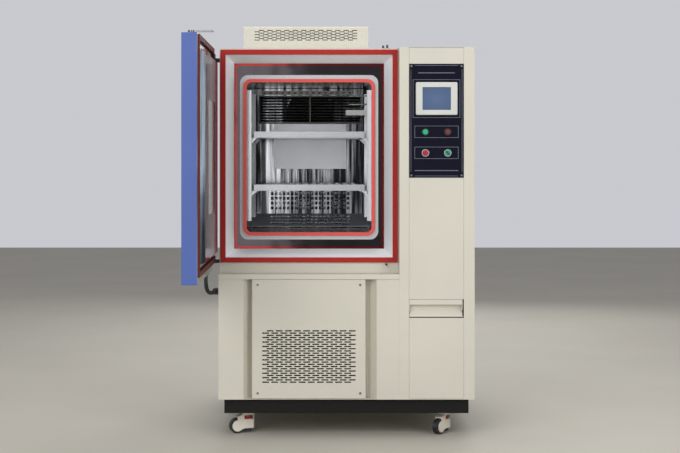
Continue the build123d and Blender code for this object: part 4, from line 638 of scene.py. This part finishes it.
def frame_mitres():
    """The mitre joints at the corners of the outer seal."""
    mesh = bmesh.new()
    low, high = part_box("frame_seals")
    band, line, proud = 0.020, 0.0008, 0.0002
    for x, way in ((low.x, 1), (high.x, -1)):
        for z, rise in ((low.z, 1), (high.z, -1)):
            middle = Vector((x + way * band / 2, low.y - proud / 2, z + rise * band / 2))
            turn = Matrix.Rotation(-way * rise * math.pi / 4, 4, "Y")
            size = Matrix.Diagonal((band * math.sqrt(2), proud, line, 1.0))
            bmesh.ops.create_cube(mesh, size=1.0, matrix=Matrix.Translation(middle) @ turn @ size)
    return piece("outer_seal_mitres", mesh, seal_joints_and_painted_shade, "cabinet")


frame_mitres()


def add_screw(mesh, place, radius=0.004, height=0.0016):
    """A pan-head screw on a face that looks to the front."""
    x, y, z = place
    add_rod(mesh, (x, y, z), (x, y - height * 0.6, z), radius)
    add_rod(mesh, (x, y - height * 0.6, z), (x, y - height, z), radius * 0.72)


def centre_skin():
    """The satin middle of the duct wall, with its corner screws, between flanks with streaks of painted
    reflection.
    """
    mesh = bmesh.new()
    half, low, high = 0.1575, 1.054, 1.249
    face = DUCT_WALL - 0.0015
    add_block(mesh, (LINER_X - half, face - 0.0006, low), (LINER_X + half, face, high), 0.0002)
    for side in (-1, 1):
        for height in (low + 0.014, high - 0.014):
            add_screw(mesh, (LINER_X + side * (half - 0.014), face - 0.0006, height))
    return piece("duct_centre_skin", mesh, centre_steel, "cabinet")


centre_skin()


def oval_cell(mesh, centre, size, oval, y):
    """One cell of a perforated strip: the faces between its rectangle and its oval hole."""
    outer, inner = [], []
    steps = 5
    corners = [(-1, -1), (1, -1), (1, 1), (-1, 1)]
    for (x0, z0), (x1, z1) in zip(corners, corners[1:] + corners[:1]):
        for step in range(steps):
            u, v = x0 + (x1 - x0) * step / steps, z0 + (z1 - z0) * step / steps
            turn = math.atan2(v, u)
            outer.append(mesh.verts.new((centre[0] + u * size[0] / 2, y, centre[1] + v * size[1] / 2)))
            place = (centre[0] + oval[0] / 2 * math.cos(turn), y, centre[1] + oval[1] / 2 * math.sin(turn))
            inner.append(mesh.verts.new(place))
    count = len(outer)
    for index in range(count):
        after = (index + 1) % count
        mesh.faces.new((outer[index], outer[after], inner[after], inner[index]))


def outlet_strip():
    """The strip with a row of oval holes above the air outlet, white as a painted highlight, and a black
    sheet behind the holes as painted shade.
    """
    low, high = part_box("outlet_louvre")
    count, pitch, tall = 15, 0.0265, 0.017
    z = high.z + 0.004 + tall / 2
    start = low.x + 0.012
    mesh = bmesh.new()
    for cell in range(count):
        middle = (start + (cell + 0.5) * pitch, z)
        oval_cell(mesh, middle, (pitch, tall), (0.012, 0.007), DUCT_WALL - 0.0005)
    bmesh.ops.remove_doubles(mesh, verts=mesh.verts, dist=0.00001)
    bmesh.ops.recalc_face_normals(mesh, faces=mesh.faces)
    bmesh.ops.solidify(mesh, geom=mesh.faces, thickness=0.001)
    bmesh.ops.recalc_face_normals(mesh, faces=mesh.faces)
    # White bezel plastic on the strip's steel: a painted highlight.
    piece("outlet_strip", mesh, bezel_white, "cabinet")
    # A black sheet behind the holes: painted shade.
    shadow = bmesh.new()
    reach = (start, DUCT_WALL - 0.0004, z - tall / 3), (start + count * pitch, DUCT_WALL, z + tall / 3)
    add_block(shadow, *reach, 0.0001)
    piece("outlet_strip_painted_shade", shadow, fitting_black, "cabinet")


outlet_strip()


def caster_bolts():
    """The four hexagon bolts through each caster's top plate, with their washers."""
    mesh = bmesh.new()
    for caster in CASTERS:
        low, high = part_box(f"{caster}_foot")
        x, y = (low.x + high.x) / 2, (low.y + high.y) / 2
        for dx in (-0.030, 0.030):
            for dy in (-0.030, 0.030):
                add_rod(mesh, (x + dx, y + dy, 0.0860), (x + dx, y + dy, 0.0848), 0.0062)
                add_rod(mesh, (x + dx, y + dy, 0.0848), (x + dx, y + dy, 0.0815), 0.0046, 6)
    return piece("caster_bolts", mesh, screw_steel, "cabinet")


caster_bolts()

# The route of the door's conduit, repeated from the solids
CONDUIT_ROUTE = [
    (-0.5075, -0.2560, 0.6495),
    (-0.5075, -0.2560, 0.6180),
    (-0.5060, -0.2370, 0.5910),
    (-0.5005, -0.2100, 0.5750),
    (-0.4915, -0.1790, 0.5700),
    (-0.4805, -0.1500, 0.5710),
    (-0.4805, -0.1200, 0.5710),
]
CONDUIT_RADIUS = 0.008
CONDUIT_RIDGE = 0.0011


def route_points(name, route, resolution=24):
    """The points along the route's smooth spline."""
    data = bpy.data.curves.new(name, "CURVE")
    data.dimensions = "3D"
    spline = data.splines.new("NURBS")
    spline.points.add(len(route) - 1)
    for point, place in zip(spline.points, route):
        point.co = (*place, 1.0)
    spline.order_u = 3
    spline.use_endpoint_u = True
    spline.resolution_u = resolution
    carrier = bpy.data.objects.new(name, data)
    bpy.context.scene.collection.objects.link(carrier)
    bpy.context.view_layer.update()
    line = bpy.data.meshes.new_from_object(carrier)
    points = [vert.co.copy() for vert in line.vertices]
    bpy.data.objects.remove(carrier)
    bpy.data.meshes.remove(line)
    return points


def conduit():
    """The corrugated conduit, with a ridge every few millimetres along the route."""
    points = route_points("conduit_route", CONDUIT_ROUTE)
    mesh = bmesh.new()
    rings = []
    for index, place in enumerate(points):
        ahead = points[min(index + 1, len(points) - 1)] - points[max(index - 1, 0)]
        turn = ahead.to_track_quat("Z", "Y").to_matrix().to_4x4()
        radius = CONDUIT_RADIUS - (CONDUIT_RIDGE if index % 4 in (2, 3) else 0.0)
        made = bmesh.ops.create_circle(
            mesh, cap_ends=False, segments=20, radius=radius, matrix=Matrix.Translation(place) @ turn
        )
        rings.append(made["verts"])
    for first, second in zip(rings, rings[1:]):
        near = [edge for edge in mesh.edges if all(vert in first for vert in edge.verts)]
        far = [edge for edge in mesh.edges if all(vert in second for vert in edge.verts)]
        bmesh.ops.bridge_loops(mesh, edges=near + far)
    for ring in (rings[0], rings[-1]):
        bmesh.ops.contextual_create(mesh, geom=ring)
    bmesh.ops.recalc_face_normals(mesh, faces=mesh.faces)
    data = bpy.data.meshes.new("door_conduit_hose")
    mesh.to_mesh(data)
    mesh.free()
    for polygon in data.polygons:
        polygon.use_smooth = True
    hose = bpy.data.objects.new("door_conduit_hose", data)
    bpy.context.scene.collection.objects.link(hose)
    data.materials.append(fitting_black)
    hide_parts("door_conduit")
    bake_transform(hose)
    return hose


conduit()


def studio():
    """A pale floor, a pale surround that is seen directly and in reflections, and soft lamps."""
    mesh = bmesh.new()
    bmesh.ops.create_grid(mesh, x_segments=1, y_segments=1, size=12.0)
    data = bpy.data.meshes.new("floor")
    mesh.to_mesh(data)
    mesh.free()
    floor = bpy.data.objects.new("floor", data)
    bpy.context.scene.collection.objects.link(floor)
    material, tree, shader = new_material("floor")
    tone = spread(tree, noise(tree, coordinates(tree), 1.2), 0.0, 1.0)
    colour = blended(tree, tone, (0.50, 0.47, 0.40, 1.0), (0.54, 0.51, 0.44, 1.0))
    tree.links.new(colour, shader.inputs["Base Color"])
    shader.inputs["Roughness"].default_value = 0.7
    data.materials.append(material)

    world = bpy.data.worlds.new("studio")
    bpy.context.scene.world = world
    world.use_nodes = True
    tree = world.node_tree
    background = tree.nodes["Background"]
    rays = tree.nodes.new("ShaderNodeLightPath")
    seen = tree.nodes.new("ShaderNodeMath")
    seen.operation = "MAXIMUM"
    tree.links.new(rays.outputs["Is Camera Ray"], seen.inputs[0])
    tree.links.new(rays.outputs["Is Transmission Ray"], seen.inputs[1])
    any_view = tree.nodes.new("ShaderNodeMath")
    any_view.operation = "MAXIMUM"
    tree.links.new(seen.outputs["Value"], any_view.inputs[0])
    tree.links.new(rays.outputs["Is Glossy Ray"], any_view.inputs[1])
    strength = tree.nodes.new("ShaderNodeMapRange")
    strength.inputs["To Min"].default_value = 0.50
    strength.inputs["To Max"].default_value = 1.0
    tree.links.new(any_view.outputs["Value"], strength.inputs["Value"])
    tree.links.new(strength.outputs["Result"], background.inputs["Strength"])
    background.inputs["Color"].default_value = (*PALE_GROUND, 1.0)

    lamp("key", (-2.2, -4.2, 3.4), (0.0, 0.1, 0.8), 3.0, 104.0)
    lamp("front", (-1.9, -6.0, 0.9), (0.0, 0.1, 0.8), 3.2, 78.0)
    lamp("fill", (3.0, -3.4, 2.2), (0.0, 0.1, 0.8), 2.6, 66.0)
    lamp("top", (0.2, 0.4, 4.6), (0.0, 0.1, 1.0), 3.2, 66.0)
    lamp("back", (0.6, 4.4, 2.6), (0.0, 0.4, 0.9), 3.0, 55.0)


def lamp(name, place, target, size, power):
    """A square soft lamp that looks at a point."""
    data = bpy.data.lights.new(name, "AREA")
    data.shape = "SQUARE"
    data.size = size
    data.energy = power
    shade = bpy.data.objects.new(name, data)
    bpy.context.scene.collection.objects.link(shade)
    shade.location = place
    shade.rotation_euler = (Vector(target) - Vector(place)).to_track_quat("-Z", "Y").to_euler()


def camera():
    """The photograph's viewpoint: level, straight on, with the lens shifted."""
    data = bpy.data.cameras.new("camera")
    data.sensor_width = 36.0
    data.lens = 77.1
    data.shift_x = 0.0265
    data.shift_y = -0.1007
    eye = bpy.data.objects.new("camera", data)
    bpy.context.scene.collection.objects.link(eye)
    eye.location = (-0.0565, -5.910, 1.101)
    eye.rotation_euler = (math.pi / 2, 0.0, 0.0)
    bpy.context.scene.camera = eye


camera()
studio()
bpy.context.scene.view_settings.view_transform = "Standard"
